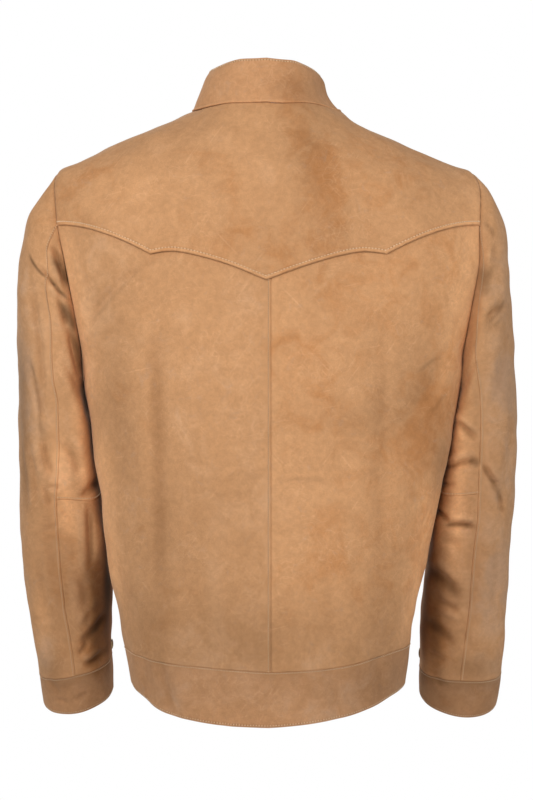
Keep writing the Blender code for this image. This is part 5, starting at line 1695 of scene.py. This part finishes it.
def bump(tree, strength, distance, height, below=None):
    inputs = {"Strength": strength, "Distance": distance, "Height": height}
    if below is not None:
        inputs["Normal"] = below
    return node(tree, "Bump", inputs).outputs[0]


def rgb(colour, gain=1.0):
    return (*(min(1.0, level * gain) for level in colour), 1.0)


def two_tone(tree, share, dark, light):
    return mix(tree, share, rgb(dark), rgb(light))


print("helpers ready")


# %% Suede, in one shade for the panels and one for the bands
STREAK_STRETCH = (620.0, 60.0, 26.0)
SCRATCHES = ((0.62, 23.0, 0.64), (-0.75, 31.0, 0.655), (1.35, 17.0, 0.66))  # lean, patches, how rare
NOISES = {  # scale, detail, roughness and distortion
    "streak": (1.0, 2.0, 0.5, 0.4),
    "broad": (8.0, 3.0, 0.6, 0.8),
    "middle": (34.0, 5.0, 0.65, 0.8),
    "small": (170.0, 4.0, 0.65, 0.3),
    "nap": (1300.0, 3.0, 0.7),
    "dust": (62.0, 4.0, 0.6, 1.5),
    "veined": (19.0, 2.0, 0.5),
}
# In the tables below, a value between the first two limits gives a share between the last two.
ORANGE_FROM = (
    ("broad", (0.30, 0.70, -0.38, 0.38)),
    ("middle", (0.30, 0.72, -0.34, 0.40)),
    # the darker the tone, with its painted shade, the warmer the colour
    ("tone_and_painted_light", (-0.12, -0.75, 0.0, 1.3)),
)
ORANGE_LAYERS = (
    ("warm", (0.0, 1.3, 0.0, 0.85)),
    ("pale", (-0.1, -1.3, 0.0, 0.80)),
    # greyer where the warmth is low, which also carries the painted sheen on the sleeves' outer sides
    ("grey", (-0.6, -1.7, 0.0, 0.90)),
)
# Painted light and shade: a painted shade in crease valleys, a painted highlight on crease ridges, and a
# painted shade along seams.
LAST_LAYERS = (  # what steers it, limits, colour and gain
    ("fold", (-0.6, -5.0, 0.0, 0.60), "warm", 0.45),
    ("fold", (0.2, 1.6, 0.0, 0.25), "pale", 1.0),
    ("seam", (0.05, 1.0, 0.0, 0.80), "warm", 0.32),
)
DUSTY = (0.58, 0.76, 0.0, 0.45)
VEIN_CELLS, VEIN_WIDTH, VEINED, VEIN_GAIN = 58.0, 0.045, (0.48, 0.66, 0.0, 0.26), 1.22
ASTRAY_SCALE, ASTRAY_SHARE = 30.0, 0.09  # how far the veins wander
SCRATCHED, SCRATCH_EDGE, SCRATCH_GAIN = (0.50, 0.62, 0.0, 0.24), 0.05, 1.25
BUMPS = {"small": (0.30, 0.0005), "middle": (0.30, 0.0012), "nap": (0.35, 0.00018)}  # strength, metres
SUEDE_ROUGHNESS = (0.3, 0.7, 0.84, 0.97)
SUEDE_SHINE = {
    "Specular IOR Level": 0.14,
    "Sheen Weight": 0.15,
    "Sheen Roughness": 0.42,
    "Sheen Tint": (0.95, 0.80, 0.64, 1.0),
}
# Each grain's noise between two limits makes the colour this much darker or lighter.
GRAIN_LIMITS = {
    "nap": (0.28, 0.74, 0.90, 1.08),
    "small": (0.30, 0.72, 0.93, 1.07),
    "middle": (0.30, 0.72, 1.04, 0.95),
}


def streaks(tree, place, lean, low, high):
    """Long thin marks at one lean, where a noise stretched along them peaks."""
    turned = node(tree, "Mapping", {"Vector": place, "Rotation": (0.0, lean, 0.0)}).outputs[0]
    drawn = node(tree, "Mapping", {"Vector": turned, "Scale": STREAK_STRETCH}).outputs[0]
    return spread(tree, noise(tree, drawn, *NOISES["streak"]), low, high)


def suede(name, base, warm, pale, grey):
    made, tree, shader = new_material(name)
    tints = {"warm": warm, "pale": pale, "grey": grey}
    place = node(tree, "TexCoord").outputs["Object"]
    marks = ("tone_and_painted_light", "warmth", "fold", "seam")
    fields = {m: node(tree, "Attribute", attribute_name=m).outputs["Fac"] for m in marks}
    for size in ("broad", "middle", "small", "nap"):
        fields[size] = noise(tree, place, *NOISES[size])
    orange = fields["warmth"]
    for field, limits in ORANGE_FROM:
        orange = maths(tree, "ADD", orange, spread(tree, fields[field], *limits))
    colour = rgb(base)
    for tint, limits in ORANGE_LAYERS:
        colour = mix(tree, spread(tree, orange, *limits), colour, rgb(tints[tint]))
    dust = noise(tree, place, *NOISES["dust"])
    colour = mix(tree, spread(tree, dust, *DUSTY), colour, rgb(grey))
    astray = node(tree, "TexNoise", {"Vector": place, "Scale": ASTRAY_SCALE}).outputs["Color"]
    cells = {"Vector": mix(tree, ASTRAY_SHARE, place, astray), "Scale": VEIN_CELLS}
    veins = node(tree, "TexVoronoi", cells, feature="DISTANCE_TO_EDGE").outputs["Distance"]
    vein_mask = spread(tree, noise(tree, place, *NOISES["veined"]), *VEINED)
    lines = maths(tree, "MULTIPLY", spread(tree, veins, VEIN_WIDTH, 0.0), vein_mask)
    colour = mix(tree, lines, colour, rgb(pale, VEIN_GAIN))
    for lean, patches, low in SCRATCHES:
        mask = spread(tree, noise(tree, place, patches, 1.0), *SCRATCHED)
        scratch = streaks(tree, place, lean, low, low + SCRATCH_EDGE)
        colour = mix(tree, maths(tree, "MULTIPLY", scratch, mask), colour, rgb(pale, SCRATCH_GAIN))
    for field, limits, tint, gain in LAST_LAYERS:
        colour = mix(tree, spread(tree, fields[field], *limits), colour, rgb(tints[tint], gain))
    # the tone, with its painted light and shade, darkens or lightens the whole colour
    value = maths(tree, "ADD", spread(tree, fields["tone_and_painted_light"], -1.0, 1.0, -1.0, 1.0), 1.0)
    for grain, limits in GRAIN_LIMITS.items():
        value = maths(tree, "MULTIPLY", value, spread(tree, fields[grain], *limits))
    grey_level = node(tree, "CombineColor", {0: value, 1: value, 2: value}).outputs[0]
    rough = bump(tree, *BUMPS["middle"], fields["middle"])
    rough = bump(tree, *BUMPS["small"], fields["small"], rough)
    plug(tree, shader, {
        "Base Color": mix(tree, 1.0, colour, grey_level, "MULTIPLY"),
        "Normal": bump(tree, *BUMPS["nap"], fields["nap"], rough),
        "Roughness": spread(tree, fields["middle"], *SUEDE_ROUGHNESS),
        **SUEDE_SHINE,
    })
    return made


# Base, warm, pale and grey.
SUEDE_TONES = (
    (0.556, 0.289, 0.133),
    (0.518, 0.219, 0.076),
    (0.615, 0.348, 0.184),
    (0.500, 0.296, 0.174),
)
BAND_TONES = (
    (0.500, 0.256, 0.120),
    (0.455, 0.194, 0.072),
    (0.560, 0.316, 0.172),
    (0.430, 0.264, 0.162),
)
MATERIALS = {
    "suede": suede("tan_suede", *SUEDE_TONES),
    "band_suede": suede("band_suede_nap", *BAND_TONES),
}
print("suedes:", ", ".join(MATERIALS))


# %% Thread, needle holes, tape and brass
TAPE_WEAVE, TAPE_BUMP = 330.0, (0.5, 0.0003)
BRASS_WEAR, BRASS_BUMP, BRASS_ROUGHNESS = (260.0, 4.0, 0.6), (0.2, 0.0002), (0.3, 0.7, 0.48, 0.26)
TWO_TONES = {  # dark and light
    "thread": ((0.72, 0.50, 0.29), (0.90, 0.69, 0.46)),
    # a painted shadow of a needle hole
    "hole_shadow": ((0.13, 0.055, 0.02), (0.26, 0.12, 0.045)),
    "tape": ((0.10, 0.052, 0.024), (0.24, 0.135, 0.066)),
    "brass": ((0.20, 0.125, 0.055), (0.56, 0.42, 0.23)),
}


def mottled(name, tones, scale, limits, finish):
    """Two tones in a noise of one size."""
    made, tree, shader = new_material(name)
    place = node(tree, "TexCoord").outputs["Object"]
    share = spread(tree, noise(tree, place, scale, 2.0), *limits)
    plug(tree, shader, {"Base Color": two_tone(tree, share, *TWO_TONES[tones]), **finish})
    return made


def woven_tape():
    made, tree, shader = new_material("woven_zip_tape")
    place = node(tree, "TexCoord").outputs["Object"]
    yarns = {"Vector": place, "Scale": TAPE_WEAVE, "Distortion": 1.0}
    warp, weft = [node(tree, "TexWave", yarns, bands_direction=way).outputs["Fac"] for way in "ZX"]
    both = maths(tree, "MULTIPLY", warp, weft)
    colour = two_tone(tree, both, *TWO_TONES["tape"])
    normal = bump(tree, *TAPE_BUMP, both)
    plug(tree, shader, {"Base Color": colour, "Normal": normal, "Roughness": 0.85})
    return made


def antique_brass():
    made, tree, shader = new_material("worn_antique_brass")
    wear = noise(tree, node(tree, "TexCoord").outputs["Object"], *BRASS_WEAR)
    plug(tree, shader, {
        "Base Color": two_tone(tree, spread(tree, wear, 0.35, 0.65), *TWO_TONES["brass"]),
        "Roughness": spread(tree, wear, *BRASS_ROUGHNESS),
        "Normal": bump(tree, *BRASS_BUMP, wear),
        "Metallic": 1.0,
    })
    return made


thread_finish = {"Roughness": 0.6, "Sheen Weight": 0.2}
MATERIALS["thread"] = mottled("cream_thread", "thread", 900.0, (0.35, 0.65), thread_finish)
MATERIALS["hole_shadow"] = mottled("needle_hole_shadow", "hole_shadow", 500.0, (0.3, 0.7), {"Roughness": 1.0})
MATERIALS["tape"] = woven_tape()
MATERIALS["brass"] = antique_brass()
FINISHES = {  # by the start of a piece's name
    "body_stitches": ("thread", "hole_shadow"),
    "sleeve_stitches": ("thread", "hole_shadow"),
    "zip_tape": ("tape",),
    "zip_teeth": ("brass",),
    "collar": ("band_suede",),
    "hem_band": ("band_suede",),
    "cuff": ("band_suede",),
}
FITTINGS = ("zip_slider", "zip_pull", "cuff_snap_left", "cuff_snap_right")
for name, piece in PIECES.items():
    chosen = [finishes for start, finishes in FINISHES.items() if name.startswith(start)]
    for finish in chosen[0] if chosen else ("suede",):
        piece.data.materials.append(MATERIALS[finish])
for name in FITTINGS:
    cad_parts[name].material_slots[0].material = MATERIALS["brass"]
print("finished:", len(PIECES), "pieces and", len(FITTINGS), "fittings")

# %% [markdown]
# ## Floor, light and camera
#
# The jacket stands in front of white, with a pale floor below the view. One broad soft light comes
# from above behind the jacket's back, and a box on each side opens up the sleeves, so that the
# panels read evenly and only the deep folds stay dark. A fourth light shows the front.

# %% Floor and lights
FLOOR_RADIUS, FLOOR_HEIGHT, FLOOR_SIDES = 1.2, -1.0, 96
WHITE = (1.0, 1.0, 1.0, 1.0)
FLOOR_FINISH = {"Base Color": (0.86, 0.85, 0.84, 1.0), "Roughness": 0.9}
AMBIENT = 0.27
MIDDLE = (0.0, 0.0, -0.30)
LIGHTS = (  # name, place, target, size, power
    ("key", (0.35, 1.85, 0.55), (0.0, 0.0, -0.20), (1.0, 0.9), 21.0),
    ("left_box", (1.6, 1.2, 0.1), MIDDLE, (0.9, 1.5), 11.0),
    ("right_box", (-1.6, 1.2, 0.1), MIDDLE, (0.9, 1.5), 13.0),
    ("front_light", (0.6, -1.9, 0.6), MIDDLE, (1.2, 1.2), 16.0),
)


def floor():
    mesh = bpy.data.meshes.new("floor")
    angles = np.linspace(0, 2 * math.pi, FLOOR_SIDES, endpoint=False)
    rim = [(FLOOR_RADIUS * math.cos(a), FLOOR_RADIUS * math.sin(a), FLOOR_HEIGHT) for a in angles]
    mesh.from_pydata(rim, [], [tuple(range(len(rim)))])
    finish, tree, shader = new_material("pale_floor")
    plug(tree, shader, FLOOR_FINISH)
    mesh.materials.append(finish)
    made = put("floor", mesh)


def area_light(name, place, target, size, power):
    light = bpy.data.lights.new(name, "AREA")
    light.shape = "RECTANGLE"
    light.size, light.size_y = size
    light.energy = power
    made = put(name, light)
    made.location = place
    made.rotation_euler = (Vector(target) - Vector(place)).to_track_quat("-Z", "Y").to_euler()


def soft_world(ambient):
    """White to the camera, and a weaker even light on the jacket."""
    world = bpy.context.scene.world or bpy.data.worlds.new("studio")
    bpy.context.scene.world = world
    world.use_nodes = True
    tree = world.node_tree
    tree.nodes.clear()
    levels = (1.0, ambient)
    seen, lit = [node(tree, "Background", {"Color": WHITE, "Strength": level}) for level in levels]
    rays = node(tree, "LightPath")
    shares = {0: rays.outputs["Is Camera Ray"], 1: lit.outputs[0], 2: seen.outputs[0]}
    both = node(tree, "MixShader", shares)
    out = node(tree, "OutputWorld")
    tree.links.new(both.outputs[0], out.inputs["Surface"])


floor()
soft_world(AMBIENT)
for row in LIGHTS:
    area_light(*row)
print(len(LIGHTS), "lights and a floor")

# %% The camera, level with the middle of the back
LENS, SENSOR = 90.98, 36.0
CAMERA_PLACE = (0.0022, 2.2, -0.310)
CAMERA_TURN = (90, 0, 180)  # level, and looking at the back
camera = put("camera", bpy.data.cameras.new("camera"))
camera.data.lens = LENS
camera.data.sensor_width = SENSOR
camera.location = CAMERA_PLACE
camera.rotation_euler = [math.radians(turn) for turn in CAMERA_TURN]
bpy.context.scene.camera = camera
bpy.context.scene.view_settings.view_transform = "Standard"
bpy.context.scene.view_settings.look = "None"
print("camera at", tuple(camera.location))

# %% Update the scene
bpy.context.view_layer.update()
